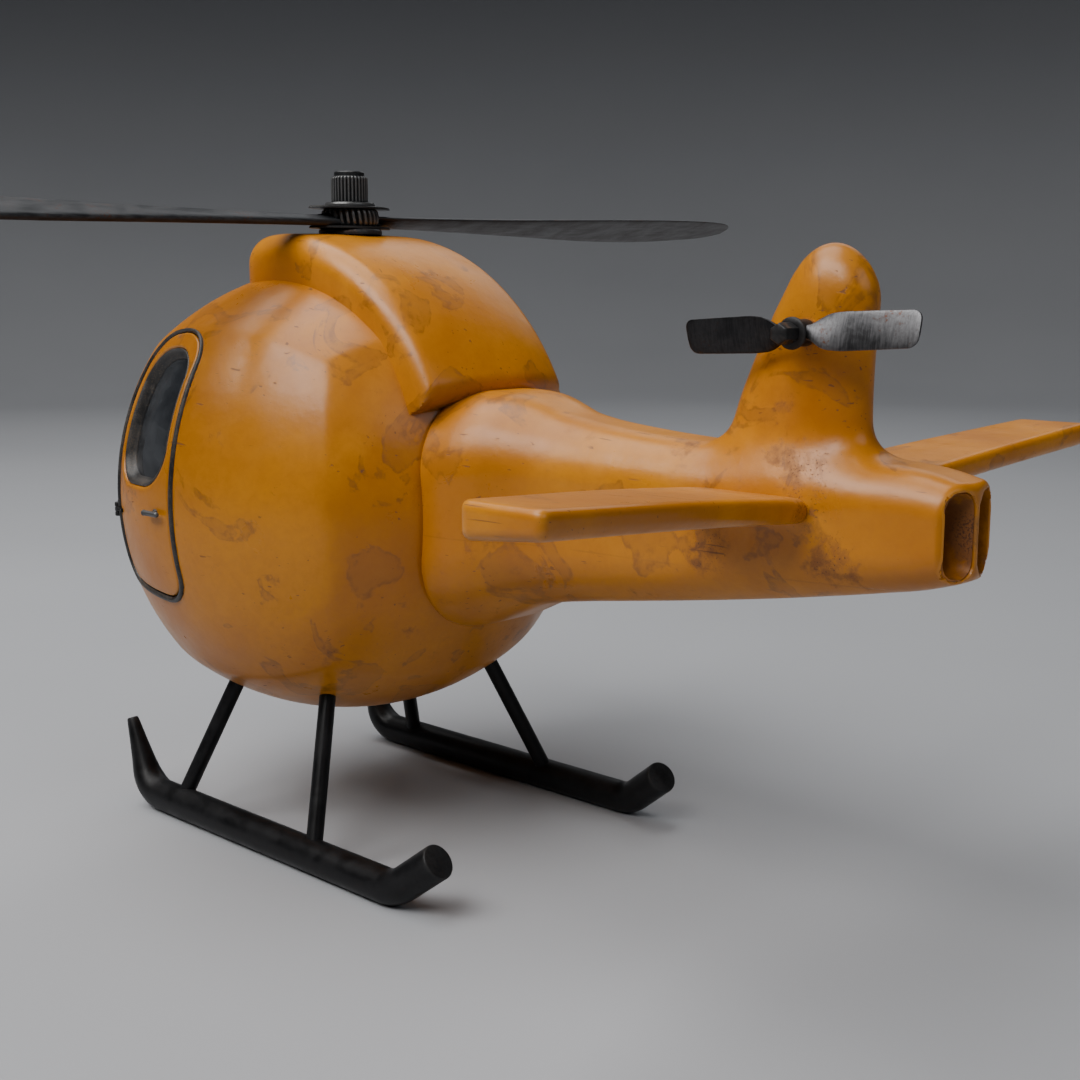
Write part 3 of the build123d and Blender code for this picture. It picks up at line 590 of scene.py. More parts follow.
gunmetal = metal_material("gunmetal", (0.009, 0.010, 0.011), (0.030, 0.031, 0.033), metallic=0.6,
                          rough=(0.30, 0.46), streak=0.3, rust=0.10, edge=(0.22, 0.22, 0.22), edge_share=0.5)
# main blades: their undersides get painted shade together with their rust
dark_blade = metal_material("dark_blade", (0.022, 0.024, 0.027), (0.070, 0.073, 0.078), metallic=0.2,
                            rough=(0.36, 0.56), grain=(3.0, 0.06, 1), rust=0.25, edge=(0.24, 0.24, 0.24),
                            edge_share=0.3, shine=0.3, rust_and_shade_below=0.95)
brushed = {"rough": (0.34, 0.50), "grain": (2.4, 1, 0.12), "grain_scale": 1.4, "streak": 0.35}
bright_blade = metal_material("brushed_blade", (0.055, 0.055, 0.058), (0.15, 0.15, 0.156), metallic=1.0,
                              rust=0.12, edge=(0.55, 0.55, 0.55), **brushed)
# painted shade: the front tail blade is a darker copy of the brushed blade, as if in shadow, with a painted
# highlight along its edges
blade_painted_in_shade = metal_material("blade_painted_in_shade", (0.012, 0.012, 0.013), (0.040, 0.040, 0.042), metallic=0.9,
                            rust=0.10, edge=(0.45, 0.45, 0.45), edge_share=0.8, **brushed)
steel = metal_material("plain_steel", (0.25, 0.25, 0.255), (0.5, 0.5, 0.51), metallic=1.0, rough=(0.28, 0.44))
brass = metal_material("turned_brass", (0.32, 0.20, 0.07), (0.55, 0.38, 0.14), metallic=1.0,
                       rough=(0.25, 0.42), edge=(0.75, 0.6, 0.3))
lining = metal_material("cabin_lining", (0.02, 0.02, 0.021), (0.05, 0.05, 0.052), metallic=0.0,
                        rough=(0.6, 0.8), edge_share=0.1)
window = glass_material("smoked_glass")
rubber = rubber_material("black_rubber")


# ---------------- pod
pod_wall, reveal = 2.0, 0.55                    # the shell's thickness, and how much larger its openings are
post_angles, post_ring, post_r, post_half = (58.0, 138.0, 232.0, 305.0), 46.0, 3.0, 7.0


def cone_field(across, up, out, outline):
    """Distance to the cone from the pod's centre through an opening in its skin."""
    out = np.maximum(out, 1.0)
    cone = outline_field(across * skin_r / out, up * skin_r / out, outline, reveal) * out / skin_r
    return np.where(out > 5, cone, 50.0)


def pod_shell(x, y, z):
    """The hollow pod with its screw posts and its openings for the doors and the windscreen."""
    skin = pod_field(x, y, z)
    shell = np.maximum(skin, -(skin + pod_wall))
    u, w = x - pod[0], z - pod[2]
    for angle in post_angles:
        a = math.radians(angle)
        post = np.hypot(u - post_ring * math.cos(a), w - post_ring * math.sin(a)) - post_r
        shell = np.minimum(shell, np.maximum(np.maximum(post, abs(y) - post_half), skin + 0.5))
    door = cone_field(u, w, abs(y), door_outline)
    screen = cone_field(y, w, u, screen_outline)
    return np.maximum(shell, -np.minimum(door, screen))


cut_in_two(*surface(pod_shell, even_axes(pod - 54.0, pod + 54.0, 0.85), 0.85), 1, 0.0, paint,
           (("pod_half_port", "pod_shell_port"), ("pod_half_starboard", "pod_shell_starboard")))


def on_pod(toward, depth=0.0):
    """The point on the pod's skin in a direction from its centre, at a depth below the skin."""
    toward = np.asarray(toward, float)
    scale = (pod_half - np.asarray(depth, float)) / pod_norm(*toward.T)
    return pod + toward * scale[:, None]


def outline_rays(outline, centre, angles, grow=0.0):
    """Where rays from a centre meet a rounded outline."""
    inside, outside = np.zeros(len(angles)), np.full(len(angles), 90.0)
    c, s = np.cos(angles), np.sin(angles)
    for _ in range(40):
        mid = (inside + outside) / 2
        out = outline_field(centre[0] + mid * c, centre[1] + mid * s, outline, grow) > 0
        inside, outside = np.where(out, inside, mid), np.where(out, mid, outside)
    return np.stack([centre[0] + inside * c, centre[1] + inside * s], 1)


def even_angles(outline, centre, count):
    """Ray angles that meet an outline at even steps along it."""
    angles = np.linspace(-math.pi, math.pi, 4001)
    line = outline_rays(outline, centre, angles)
    length = np.concatenate([[0], np.cumsum(np.linalg.norm(np.diff(line, axis=0), axis=1))])
    return np.interp(np.linspace(0, length[-1], count, endpoint=False), length, angles)


def side_points(side, line, depth):
    """Points of the pod's skin on one side, from (forward, up) as seen from its centre."""
    line = np.asarray(line)
    return on_pod(np.stack([line[:, 0], np.full(len(line), side * skin_r), line[:, 1]], 1), depth)


def nose_points(line, depth):
    """Points of the pod's skin at the nose, from (across, up) as seen from its centre."""
    line = np.asarray(line)
    return on_pod(np.stack([np.full(len(line), skin_r), line[:, 0], line[:, 1]], 1), depth)


# sections of the rubber pieces: how far outside the outline, and how deep below the skin
bead = [(0.65 + 0.70 * math.cos(a), 0.20 - 0.68 * math.sin(a)) for a in np.radians(range(0, 181, 15))]
bead += [(-0.05, 1.9), (1.35, 1.9)]
gasket = [(-0.02, 0.62), (-0.15, 0.42), (-0.40, 0.36), (-0.70, 0.50), (-1.05, 0.95), (-1.35, 1.55),
          (-1.60, 2.05), (-1.85, 2.25), (-1.95, 2.40), (-1.95, 3.2), (-0.02, 3.2)]


def seal(name, section, place, outline, centre, stands_for, count, **rest):
    """A rubber ring whose section follows an outline."""
    angles = even_angles(outline, centre, count)
    rows = [place(outline_rays(outline, centre, angles, grow), depth) for grow, depth in section]
    loops(name, rows, rubber, stands_for=stands_for, **rest)


def lens(name, place, outline, centre, grow, depths, stands_for, count, rings, **rest):
    """A curved pane: its rim and rings of points towards its middle, on both faces."""
    outer, inner = depths
    rim = outline_rays(outline, centre, even_angles(outline, centre, count), grow)
    shares = np.linspace(0, 1, rings + 1)[1:]
    rows = [place(centre + (rim - centre) * s, inner) for s in shares]
    rows += [place(centre + (rim - centre) * s, outer) for s in shares[::-1]]
    caps = [place([centre], depth)[0] for depth in (inner, outer)]
    loops(name, rows, window, wrap=False, caps=caps, stands_for=stands_for, **rest)


# ---------------- doors
def door_skin(side, hand):
    """The panel: over its rounded rim, in to the window, through the window's edge and back inside."""
    angles = np.sort(np.concatenate([even_angles(door_outline, window_middle, 150),
                                     even_angles(window_outline, window_middle, 110)]))
    angles = angles[np.concatenate([[True], np.diff(angles) > 0.004])]
    rim = partial(outline_rays, door_outline, window_middle, angles)
    edge = partial(outline_rays, window_outline, window_middle, angles)
    thick = 1.5
    rows = [(rim(-0.35), thick), (rim(-0.35), 0.5), (rim(-0.45), 0.22), (rim(-0.7), 0.04), (rim(-1.0), 0.0)]
    start, end = rim(-1.0), edge(1.0)
    rows += [(start + (end - start) * s, 0.0) for s in np.linspace(0, 1, 18)[1:]]
    rows += [(edge(0.6), 0.03), (edge(0.28), 0.16), (edge(0.06), 0.45), (edge(0.06), thick)]
    start, end = edge(0.06), rim(-0.35)
    rows += [(start + (end - start) * s, thick) for s in np.linspace(0, 1, 12)[1:-1]]
    loops(f"door_skin_{hand}", [side_points(side, line, depth) for line, depth in rows], paint,
          f"door_{hand}", flip=side > 0, stands_for=f"door_panel_{hand}")


def door_handle(side, hand):
    """A bar with rounded ends, on a stem with a small collar."""
    skin_y = side_points(side, [[handle_x - pod[0], handle_z - pod[2]]], 0.0)[0][1]
    turns = np.radians([12, 35, 62, 90])
    bar = [(-2.75 + 0.6 * (1 - math.cos(a)), 0.58 * math.sin(a)) for a in turns]
    bar += [(1.8, 0.56), (2.3, 0.66)]
    bar += [(2.75 - 0.45 * (1 - math.cos(a)), 0.66 * math.sin(a)) for a in turns[::-1]]
    tube(f"door_lever_{hand}", [(handle_x + along, skin_y + side * 1.25, handle_z) for along, _ in bar],
         [r for _, r in bar], gunmetal, f"handle_{hand}", around=24,
         stands_for=f"door_handle_{hand}", slot="bare_steel")
    stem = [(0.85, 0.0), (0.85, 0.2), (0.7, 0.32), (0.5, 0.4), (0.48, 1.25)]
    turned(f"door_lever_stem_{hand}", [(r, side * h) for r, h in stem[::side]], 1,
           (handle_x, skin_y, handle_z), gunmetal, f"handle_{hand}", count=32, slot="bare_steel")


def hinge_sheet(name, side, u_ends, w_ends, lift, thick, body):
    """A thin sheet that follows the pod's skin, lifted off it by lift(u)."""
    us, ws = np.linspace(*u_ends, 15), np.linspace(*w_ends, 7)
    rows = []
    for w in ws:
        line = np.stack([us, np.full(len(us), w)], 1)
        bevel = 0.18 if w in (ws[0], ws[-1]) else 0.0
        above = side_points(side, line, -(lift(us) + thick - bevel))
        below = side_points(side, line[::-1], -lift(us)[::-1] + 0.15)
        rows.append(np.concatenate([above, below]))
    open_loops(name, rows, black, body, flip=side < 0, slot="bare_steel")


def hinge(side, hand):
    """Two fixed knuckles and a plate ahead of the axis, and one moving knuckle with a leaf over the bead."""
    axis_u = (hinge_x - pod[0]) * skin_r / hinge_y
    door = f"door_{hand}"
    leaf_steps = (axis_u - 6.2, axis_u - 4.6, axis_u - 3.4, axis_u)
    leaf_lift = partial(ease, xs=leaf_steps, ys=(0.02, 0.06, 0.60, 0.62))
    hinge_sheet(f"hinge_plate_{hand}", side, (axis_u + 0.3, axis_u + 4.2), (-4.6, -1.6),
                np.zeros_like, 0.35, "airframe")
    hinge_sheet(f"hinge_leaf_{hand}", side, (axis_u - 6.2, axis_u), (-3.5, -2.7), leaf_lift, 0.4, door)
    for label, start, end, body in (("low", -4.6, -3.62, "airframe"), ("mid", -3.58, -2.62, door),
                                    ("high", -2.58, -1.6, "airframe")):
        length = end - start
        profile = [(0.62, 0), (0.78, 0.15), (0.78, length - 0.15), (0.62, length)]
        turned(f"hinge_knuckle_{label}_{hand}", profile, 2, (hinge_x, side * hinge_y, pod[2] + start),
               black, body, count=28, slot="bare_steel",
               stands_for=f"hinge_bracket_{hand}" if label == "low" else None)


for side, hand in SIDES.items():
    place, door = partial(side_points, side), f"door_{hand}"
    seal(f"door_bead_{hand}", bead, place, door_outline, door_middle, f"door_seal_{hand}", 220,
         flip=side > 0)
    door_skin(side, hand)
    seal(f"window_surround_{hand}", gasket, place, window_outline, window_middle,
         f"window_gasket_{hand}", 150, body=door, flip=side > 0)
    lens(f"window_pane_{hand}", place, window_outline, window_middle, -1.90, (2.55, 3.1),
         f"window_glass_{hand}", 140, 12, body=door, flip=side > 0)
    door_handle(side, hand)
    hinge(side, hand)

seal("screen_bead", bead, nose_points, screen_outline, screen_middle, "windscreen_seal", 240)
lens("screen_pane", nose_points, screen_outline, screen_middle, -0.02, (0.9, 1.7), "windscreen", 200, 24)


# ---------------- engine cowl
cowl_end = math.radians(155.0)                  # where its rear edge is, round the pod from the nose
cowl_half, cowl_front, cowl_r, cowl_low = 19.6, 13.0, 55.9, 15.0


def cowl_field(x, y, z):
    u, w = x - pod[0], z - pod[2]
    plan = rounded_both(abs(y) - cowl_half, u - cowl_front, 6.5)
    past = -math.sin(cowl_end) * u + math.cos(cowl_end) * w
    # towards the rear the sides get lower and their shoulders tighter
    along = ease(np.degrees(np.arctan2(w, u)), (80, 155), (0, 1))
    top = np.hypot(u, w) - cowl_r + 3.0 * along * np.minimum(abs(y) / cowl_half, 1.2) ** 2.5
    body = np.maximum(rounded_both(plan, top, 5.6 - 3.2 * along), rounded_both(past, top, 4.5))
    body = rounded_both(body, past, 0.8)
    return np.maximum(np.maximum(body, -(pod_field(x, y, z) + 1.0)), cowl_low - w)


cowl_axes = even_axes((pod[0] - 54, -20.5, pod[2] + 14), (pod[0] + 14, 20.5, pod[2] + 57), 0.62)
piece("cowl_cover", *surface(cowl_field, cowl_axes, 0.62), paint, stands_for="engine_cowl")

# ---------------- tail boom and fin
# the boom's section at stations behind the pod's centre
boom_back = [38, 46, 53, 58.7, 63, 68, 74.4, 84.2, 99.3, 110, 125, 138.6, 145.8, 152.8]
boom_half = [20.6, 20.7, 20.3, 18.7, 16.6, 14.7, 13.4, 12.5, 11.7, 11.2, 10.4, 9.5, 9.0, 8.4]
boom_top = [97.0, 97.6, 97.8, 97.3, 96.2, 94.6, 93.4, 92.3, 91.3, 90.9, 90.7, 90.3, 89.6, 87.9]
boom_low = [48.5, 49.3, 51.4, 54.0, 55.9, 57.2, 58.3, 59.8, 62.1, 63.8, 66.4, 69.0, 70.5, 72.6]
boom_corner = [17, 17, 16.5, 15, 13.5, 12, 11, 10, 9.2, 8.8, 8, 7.2, 6.4, 5.2]
port_y, port_z, port_half_y, port_half_z, port_corner = 4.0, 79.9, 3.25, 6.8, 2.9
port_outline = (-port_half_y, port_half_y), (-port_half_z, port_half_z), (port_corner, port_corner)
middle_rib_x, lip_setback, lip_half = -101.15, 2.0, 8.4
fin_foot_z, fin_dome_z, fin_top_z = 84.0, 112.6, 125.4


def lip_back(y):
    """How far the exhaust's lips stop short of the middle rib."""
    return lip_setback * np.clip(abs(y) / lip_half, 0, 1) ** 1.5


def port_field(x, y, z, grow):
    across, up = abs(abs(y) - port_y) - port_half_y - grow, abs(z - port_z) - port_half_z - grow
    slot = rounded_both(across, up, port_corner + grow)
    return np.maximum(slot, x - (middle_rib_x + 11.5 + grow))


def fin_field(x, y, z):
    """A fin of oval section that leans back, with a domed top."""
    centre = pod[0] - ease(z, (84, 91, 97, 105, 112.6, 117.7, 121.3),
                           (119.0, 119.4, 119.9, 121.5, 123.5, 124.9, 125.2))
    dome = np.sqrt(1 - np.clip((z - fin_dome_z) / (fin_top_z - fin_dome_z), 0, 0.9999) ** 3)
    heights = (fin_foot_z, 91, 97, 105, fin_dome_z, fin_top_z)
    chord = ease(z, heights, (14.6, 13.8, 12.9, 11.3, 9.7, 7.0)) * dome
    thick = ease(z, heights, (7.0, 7.0, 6.9, 6.6, 6.2, 5.5)) * dome
    a, b = (x - centre) / chord, y / thick
    k0 = np.sqrt(a * a + b * b) + 1e-6
    k1 = np.sqrt((a / chord) ** 2 + (b / thick) ** 2) + 1e-6
    return np.maximum(np.maximum(k0 * (k0 - 1) / k1, z - fin_top_z), fin_foot_z - z)


def boom_field(x, y, z):
    back = pod[0] - x
    half, top, bottom, corner = [ease(back, boom_back, v)
                                 for v in (boom_half, boom_top, boom_low, boom_corner)]
    section = rounded_both(abs(y) - half, abs(z - (top + bottom) / 2) - (top - bottom) / 2, corner)
    body = blend(section, fin_field(x, y, z), 6.0)
    body = rounded_both(body, middle_rib_x + lip_back(y) - x, 1.0)
    body = rounded_both(body, -(pod_field(x, y, z) - 0.35), 1.3)
    return np.maximum(np.maximum(body, boom_back[0] - back), -port_field(x, y, z, 0.25))


boom_axes = [graded(-101.5, pod[0] - 38, 0.6, 0.3, (-102, -97.5)),
             graded(-21.2, 21.2, 0.6, 0.3, (-9, -6.8), (-1.2, 0.8), (6.8, 9)),
             graded(48, 125.6, 0.6, 0.3, (71.5, 74.5), (85.5, 88.5))]
cut_in_two(*surface(boom_field, boom_axes, 0.3), 2, seam_z, paint_seamed,
           (("boom_upper", "boom_upper_shell"), ("boom_lower", "boom_lower_shell")))


def exhaust_liner(side, hand):
    """The exhaust's inner wall: a thin rounded slot with a closed front."""
    angles = even_angles(port_outline, (0, 0), 72)
    rows = []
    for grow, depth in ((0.25, 11.75), (0.25, 1.0), (0.2, 0.55), (0.0, 0.4), (-0.12, 0.8), (-0.12, 11.3)):
        line = outline_rays(port_outline, (0, 0), angles, grow)
        y = side * (port_y + line[:, 0])
        x = middle_rib_x + np.maximum(depth, lip_back(y) + depth * 0.9)
        rows.append(np.stack([x, y, port_z + line[:, 1]], 1))
    open_loops(f"exhaust_liner_{hand}", rows, paint, flip=side < 0,
               stands_for="exhaust_insert" if side > 0 else None)


# ---------------- stabilisers
stabiliser_root, stabiliser_tip = 8.8, 81.4


def stabiliser_field(side, x, y, z):
    out = side * y
    front = pod[0] - ease(out, (8, 20, 45, 70, stabiliser_tip), (105.0, 107.5, 112.6, 117.7, 120.0))
    rear = pod[0] - ease(out, (8, 11.5, 43, stabiliser_tip), (127.9, 128.3, 131.6, 135.3))
    top = ease(out, (8, 11.5, 43, stabiliser_tip), (84.0, 84.4, 87.7, 91.0))
    low = top - ease((x - rear) / (front - rear), (0, 1), (4.2, 5.7))
    plan = rounded_both(rounded_both(x - front, out - stabiliser_tip, 1.8), rear - x, 1.5)
    fuller = ease(out, (9, 15), (1, 0))
    edge = rounded_both(plan, z - top, 1.3 + fuller)
    return rounded_both(rounded_both(edge, low - z, 1.6 + 0.6 * fuller), stabiliser_root - out, 2.6)


for side, hand in SIDES.items():
    exhaust_liner(side, hand)
    inner_y, outer_y = sorted((side * 6, side * 82))
    axes = even_axes((pod[0] - 136, inner_y, 77), (pod[0] - 104, outer_y, 92), 0.5)
    piece(f"stabiliser_{hand}_cover", *surface(partial(stabiliser_field, side), axes, 0.5), paint,
          stands_for=f"stabiliser_{hand}")

# ---------------- skids and legs
skid_y, skid_r, skid_z, skid_tip_z, skid_tip_r = 35.35, 3.55, 3.40, 19.4, 1.28
skid_corners = ((-64.1, 33.6, 11.5), (-53.6, skid_y, skid_z), (31.0, skid_y, skid_z),
                (37.9, skid_y, skid_tip_z))
legs = {"front": ((18.9, skid_y, skid_z), (11.1, 24.4, 31.2)),
        "rear": ((-28.3, skid_y, skid_z), (-19.4, 23.4, 33.6))}
leg_r, leg_into_pod = 1.75, 4.0


def bent(corners, radii, step=1.2):
    """A path of straight runs joined by arcs."""
    corners = np.asarray(corners, float)
    path = [corners[0]]
    for before, at, after, r in zip(corners, corners[1:], corners[2:], radii):
        a, b = (before - at) / np.linalg.norm(before - at), (after - at) / np.linalg.norm(after - at)
        turn = math.pi - math.acos(np.clip(a.dot(b), -1, 1))
        reach = r * math.tan(turn / 2)
        start, end = at + a * reach, at + b * reach
        centre = at + (a + b) / np.linalg.norm(a + b) * r / math.cos(turn / 2)
        e0 = (start - centre) / r
        e1 = np.cross(np.cross(e0, end - centre), e0)
        e1 /= np.linalg.norm(e1)
        path += [centre + r * (math.cos(t) * e0 + math.sin(t) * e1) for t in np.linspace(0, turn, 12)]
    path.append(corners[-1])
    dense = [path[0]]
    for p, q in zip(path, path[1:]):
        count = max(1, int(np.linalg.norm(q - p) / step))
        dense += [p + (q - p) * k / count for k in range(1, count + 1)]
    return np.array(dense)


def beside(side, corner):
    """A place given from the pod's centre line, mirrored to one side."""
    return np.array([pod[0] + corner[0], side * corner[1], corner[2]])


def skid(side, hand):
    """A tube turned up at both ends and tapered at the front, ground flat underneath."""
    path = bent([beside(side, corner) for corner in skid_corners], (9.0, 8.0))
    rise = np.clip((path[:, 2] - skid_z) / (skid_tip_z - skid_z), 0, 1) * (path[:, 0] > pod[0])
    radii = skid_r + (skid_tip_r - skid_r) * ease(rise, (0, 0.12, 0.5, 1), (0, 0.06, 0.5, 1))
    rail = tube(f"skid_rail_{hand}", path, radii, black, round_ends=0.35, stands_for=f"skid_{hand}",
                around=48)
    for v in rail.data.vertices:
        v.co.z = max(v.co.z, 0.0)


for side, hand in SIDES.items():
    skid(side, hand)
    for end, (foot, top) in legs.items():
        foot, top = beside(side, foot), beside(side, top)
        run = top + (top - foot) / np.linalg.norm(top - foot) * leg_into_pod - foot
        tube(f"leg_{end}_{hand}_rod", foot + run * np.linspace(0, 1, 24)[:, None], np.full(24, leg_r),
             black, stands_for=f"leg_{end}_{hand}")


# ---------------- main rotor
def hub_turned(name, profile, stands_for, body="main_rotor", **rest):
    turned(name, profile, 2, (mast_x, 0, 0), gunmetal, body, stands_for=stands_for, **rest)


def collar_wave(angles, r, k):
    """Rounded ribs that lean a little, deepest at the middle of the collar."""
    deep = (0.0, 0.25, 0.8, 1.0, 1.0, 1.0, 0.8, 0.25, 0.0)[k]
    lean = 0.10 * (k - 4) / 4
    ribs = abs(np.sin((angles + lean) * 14))
    return r - 0.75 * deep * (1 - ribs) ** 1.4


def knob_wave(angles, r, k):
    """Flutes, shallower towards the ends of the knob."""
    deep = (0.0, 0.8, 1.0, 1.0, 0.8, 0.0, 0.0, 0.0, 0.0)[k]
    return r - 0.34 * deep * (0.5 + 0.5 * np.cos(angles * 30)) ** 1.6


hub_turned("base_ring", [(2.3, 129.2), (6.9, 129.2), (6.9, 129.9), (6.75, 130.25), (6.4, 130.45),
                         (2.3, 130.45)], "rotor_base_ring", "airframe")
hub_turned("collar_ribbed", [(5.2, 131.05), (5.7, 131.1), (6.1, 131.5), (6.25, 132.2), (6.3, 132.9),
                             (6.25, 133.6), (6.1, 134.2), (5.7, 134.6), (5.2, 134.72)], "hub_collar",
           count=336, wave=collar_wave)
hub_turned("cap_disc", [(5.0, 135.25), (5.4, 135.3), (5.45, 135.5), (5.4, 135.85), (5.15, 136.1),
                        (4.2, 136.15)], "hub_cap")
hub_turned("knob_fluted", [(3.75, 136.1), (4.0, 136.3), (4.0, 137.0), (4.0, 140.9), (3.98, 141.3),
                           (3.62, 141.6), (3.3, 141.75), (3.3, 142.45), (3.05, 142.7)], "rotor_knob",
           count=360, wave=knob_wave)


def yoke_plate(label, z, half_length=11.25, half_width=6.3, thick=0.5, count=120):
    """A plate outlined by two arcs that meet in points over the blades' roots."""
    angles = np.linspace(0, 2 * math.pi, count, endpoint=False)
    r = (half_width ** 2 + half_length ** 2) / (2 * half_width)
    y = half_length * np.sin(angles)
    x = np.sign(np.cos(angles)) * np.maximum(np.sqrt(np.maximum(r * r - y * y, 0)) - (r - half_width), 0.02)
    section = (0.2, 0.0), (1.0, 0.0), (1.0, 0.12), (0.985, thick - 0.1), (0.95, thick), (0.2, thick)
    rows = [np.stack([mast_x + x * share, y * share, np.full(count, z + h)], 1) for share, h in section]
    open_loops(f"yoke_{label}", rows, black, "main_rotor", stands_for=f"{label}_yoke_plate", slot="gunmetal")


yoke_plate("upper", 134.72)
yoke_plate("lower", 130.5)


def wing_rows(stations, pitch, root, span, chordwise, upward, count=48, camber=0.02):
    """Rows of a blade: (distance, chord, thickness, offset along the chord, rise, twist in degrees)."""
    span, chordwise, upward = np.array(span), np.array(chordwise), np.array(upward)
    angles = np.linspace(0, 2 * math.pi, count, endpoint=False)
    c, s = np.cos(angles), np.sin(angles)
    blunt = 1 - 0.5 * np.clip(-c, 0, 1)
    rows = []
    for out, chord, thick, shift, rise, twist in stations:
        a = math.radians(pitch + twist)
        across = chord / 2 * c + shift
        up = thick / 2 * np.sign(s) * abs(s) ** blunt * (1 - 0.25 * c) + camber * chord * (1 - c * c)
        along_chord = across * math.cos(a) - up * math.sin(a)
        height = across * math.sin(a) + up * math.cos(a)
        rows.append(root + span * out + upward * rise
                    + along_chord[:, None] * chordwise + height[:, None] * upward)
    return rows


def tip_steps(start, straight, count, radius, reach, tip_count):
    """Distances along a blade, with even steps and then closer and closer ones over the rounded tip."""
    tip = radius - reach * (1 - np.sin(np.linspace(0, math.pi / 2, tip_count)))
    return np.unique(np.concatenate([np.linspace(start, straight, count), tip]))


blade_tip, blade_tip_start, blade_z, grip_z = 139.0, 122.0, 132.3, 132.5


def main_blade(side, hand):
    """A blade that widens outwards, with its root held in a short grip."""
    stations = []
    for out in tip_steps(4.5, blade_tip_start, 60, blade_tip, blade_tip - blade_tip_start, 28):
        tip = max(0.0, (out - blade_tip_start) / (blade_tip - blade_tip_start))
        chord = ease(out, (4, 12, 19, 30, 47, 62, 76, 90, 104, 116, 126),
                     (5.6, 6.2, 6.8, 8.0, 10.5, 13.4, 16.4, 18.6, 19.6, 18.6, 16.2))
        chord = chord * math.sqrt(max(1 - tip ** 2.2, 0.0009))
        thick = ease(out, (4, 19, 60, 110, 139), (1.8, 1.9, 2.1, 2.0, 1.3)) * (1 - 0.6 * tip ** 3)
        rise = ease(out, (4, 47, 104, 139), (0.0, 0.1, 0.6, 1.35))
        stations.append((out, chord, thick, -0.05 * chord - 2.6 * tip ** 2, rise, 0.0))
    rows = wing_rows(stations, 14.0, (mast_x, 0, blade_z), (0, side, 0), (side, 0, 0), (0, 0, 1))
    open_loops(f"blade_{hand}", rows, dark_blade, "main_rotor", angle=60,
               stands_for=f"rotor_blade_{hand}")
    tube(f"blade_grip_{hand}", [(mast_x, side * y, grip_z) for y in np.linspace(4.8, 9.0, 6)],
         [1.3, 1.3, 1.25, 1.15, 1.0, 0.9], gunmetal, "main_rotor", around=24, round_ends=0.2)


for side, hand in SIDES.items():
    main_blade(side, hand)


# ---------------- tail rotor
def tail_turned(name, profile, stands_for, wave=None):
    turned(name, profile, 1, (tail_x, 0, tail_z), black, "tail_rotor", 48, wave, stands_for=stands_for,
           slot="gunmetal")


def hexagon(angles, r, k):
    """The outline of a six-sided head, across its corners."""
    return r * math.cos(math.pi / 6) / np.cos(angles % (math.pi / 3) - math.pi / 6)


nut_low, nut_high = [corner.y * 1000 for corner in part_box("tail_nut")]
tail_turned("tail_hub_barrel", [(1.6, 6.95), (2.1, 7.0), (2.25, 7.3), (2.2, 8.4), (2.2, 10.2), (2.0, 10.5),
                                (1.2, 10.7)], "tail_hub")
tail_turned("tail_washer_disc", [(1.2, 10.55), (2.35, 10.6), (2.65, 10.8), (2.65, 11.15), (2.35, 11.4),
                                 (1.2, 11.45)], "tail_washer")
tail_turned("tail_bolt", [(1.7, 11.3), (1.8, 11.45), (1.8, 14.5), (1.72, 14.75), (1.5, 14.9)], "tail_shaft",
            hexagon)
tail_turned("tail_nut_cap", [(1.3, nut_low), (1.9, nut_low + 0.35), (1.9, nut_high - 0.15), (1.6, nut_high)],
            "tail_nut")

paddle_tip, paddle_tip_start, paddle_y, rest_turn = 22.1, 20.3, 9.4, math.radians(3.0)


def tail_paddle(side, end, material):
    """A blade that opens from a twisted root into a nearly even width, with a squarish rounded tip."""
    stations = []
    for out in tip_steps(1.4, 20.2, 28, paddle_tip, 1.9, 16):
        tip = max(0.0, (out - paddle_tip_start) / (paddle_tip - paddle_tip_start))
        chord = ease(out, (1.4, 2.4, 3.2, 4.4, 5.8, 7.2, 12, 18, paddle_tip),
                     (2.2, 2.6, 3.4, 4.9, 6.0, 6.3, 6.3, 6.2, 6.1))
        chord = chord - 3.0 * (1 - math.sqrt(1 - min(tip, 1) ** 2.2 * 0.98))
        thick = ease(out, (1.4, 4, 8, paddle_tip), (1.7, 1.5, 0.95, 0.7)) * (1 - 0.35 * tip ** 4)
        twist = ease(out, (1.4, 6, paddle_tip), (20.0, 2.0, -2.0))
        stations.append((out, chord, thick, 0.0, 0.0, twist))
    c, s = side * math.cos(rest_turn), side * math.sin(rest_turn)
    rows = wing_rows(stations, 20.0, (tail_x, paddle_y, tail_z), (c, 0, -s), (s, 0, c), (0, 1, 0), 40, 0.0)
    open_loops(f"tail_paddle_{end}", rows, material, "tail_rotor", stands_for=f"tail_blade_{end}", angle=60)


# the front blade takes the copy darkened by painted shade
tail_paddle(1, "front", blade_painted_in_shade)
tail_paddle(-1, "rear", bright_blade)

# ---------------- CAD pieces that stay
kept = {**dict.fromkeys(("pod_screws", "boom_screws", "cowl_screws", "hinge_pin_port",
                         "hinge_pin_starboard", "rotor_mast", "mast_clip"), steel),
        "mast_bush": brass, "tail_bush": brass, "cabin_floor": lining}
for name, material in kept.items():
    nodes[name].data.materials.clear()
    nodes[name].data.materials.append(material)

# ---------------- floor, light and camera
floor_flat, floor_curve, wall_top, floor_count = 1250.0, 750.0, 1900.0, 128


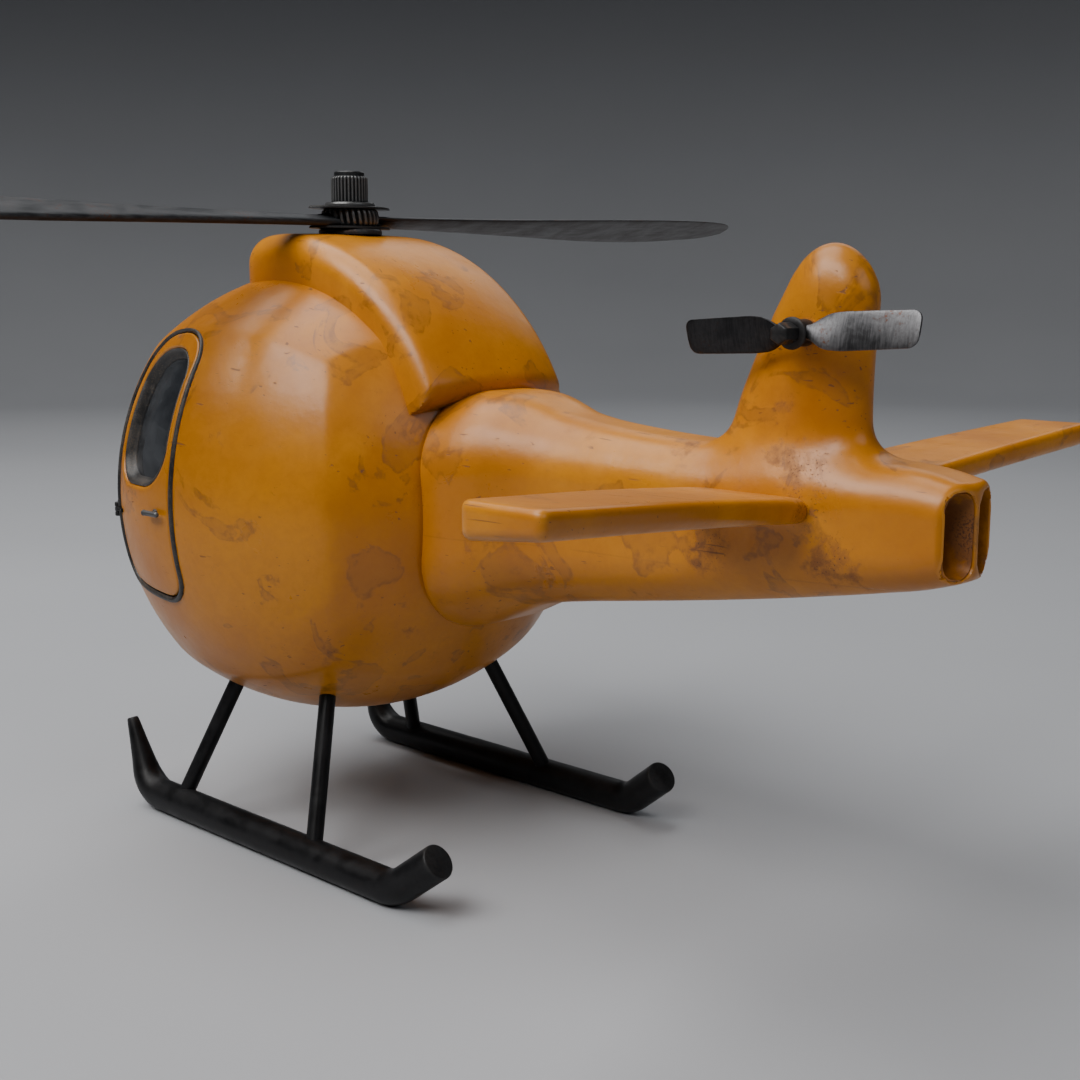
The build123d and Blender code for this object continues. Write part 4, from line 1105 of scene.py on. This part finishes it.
def studio_floor():
    """A round floor whose edge curves up into a wall, the same from every side."""
    section = [(10.0, 0.0), (350.0, 0.0), (800.0, 0.0), (floor_flat, 0.0)]
    section += [(floor_flat + floor_curve * math.sin(a), floor_curve * (1 - math.cos(a)))
                for a in np.linspace(0, math.pi / 2, 16)[1:]]
    section += [(floor_flat + floor_curve, wall_top)]
    ring = np.linspace(0, 2 * math.pi, floor_count, endpoint=False)
    points = [(r * math.cos(a), r * math.sin(a), h) for r, h in section for a in ring]
    faces = rows_to_faces(len(section), floor_count, False) + [tuple(range(floor_count))[::-1]]
    floor = mesh_object("floor", points, faces)
    smooth(floor.data)
    material, t = new_material("floor_grey")
    colour = mix(t, noise(t, in_mm(t), 0.004, 3, 0.5), (0.36, 0.37, 0.39, 1), (0.41, 0.42, 0.44, 1))
    # the wall darkens with height, so that it hardly shows in the paint
    colour = wash(t, colour, (0.10, 0.105, 0.115), between(t, height_of(t, in_mm(t)), 0.0, 700.0))
    surface_shader(t, Base_Color=colour, Roughness=0.6, Specular_IOR_Level=0.35)
    floor.data.materials.append(material)
    return floor


floor = studio_floor()

world = bpy.data.worlds.new("studio")
bpy.context.scene.world = world
world.use_nodes = True
sky = world.node_tree
sky.nodes.clear()
height = height_of(sky, add(sky, "TexCoord").outputs["Generated"])
glow = mix(sky, between(sky, height, 0.1, 0.9), (0.34, 0.36, 0.39, 1), (0.16, 0.17, 0.19, 1))
add(sky, "OutputWorld", {"Surface": add(sky, "Background", {"Color": glow, "Strength": 0.30}).outputs[0]})

centre = Vector(pod / 1000)


def softbox(name, offset, width, height, watts, colour):
    """A lamp that shines at the pod, placed from its centre in metres."""
    light = bpy.data.lights.new(name, "AREA")
    light.shape = "RECTANGLE"
    light.size, light.size_y, light.energy, light.color = width, height, watts, colour
    obj = bpy.data.objects.new(name, light)
    bpy.context.scene.collection.objects.link(obj)
    obj.location = centre + Vector(offset)
    obj.rotation_euler = (-Vector(offset)).to_track_quat("-Z", "Y").to_euler()
    obj.visible_camera = False


softbox("key", (0.03, 0.66, 0.77), 1.05, 0.42, 11.5, (1.0, 0.98, 0.96))
softbox("overhead", (0.30, 0.08, 1.02), 0.95, 0.80, 9.0, (1.0, 0.99, 0.98))
softbox("fill", (-1.05, -0.05, 0.70), 0.7, 0.5, 1.6, (0.93, 0.96, 1.0))
softbox("back", (0.45, -1.0, 0.75), 0.9, 0.5, 1.4, (0.95, 0.97, 1.0))

camera = bpy.data.objects.new("camera", bpy.data.cameras.new("camera"))
bpy.context.scene.collection.objects.link(camera)
camera.data.lens, camera.data.sensor_width = 50.0, 36.0
camera.data.clip_start, camera.data.clip_end = 0.01, 30.0
camera.location = Vector((pod[0] - 261.35, 216.30, pod[2] + 45.45)) / 1000
camera.rotation_euler = Vector((0.67374, -0.71925, -0.16918)).to_track_quat("-Z", "Y").to_euler()
bpy.context.scene.camera = camera
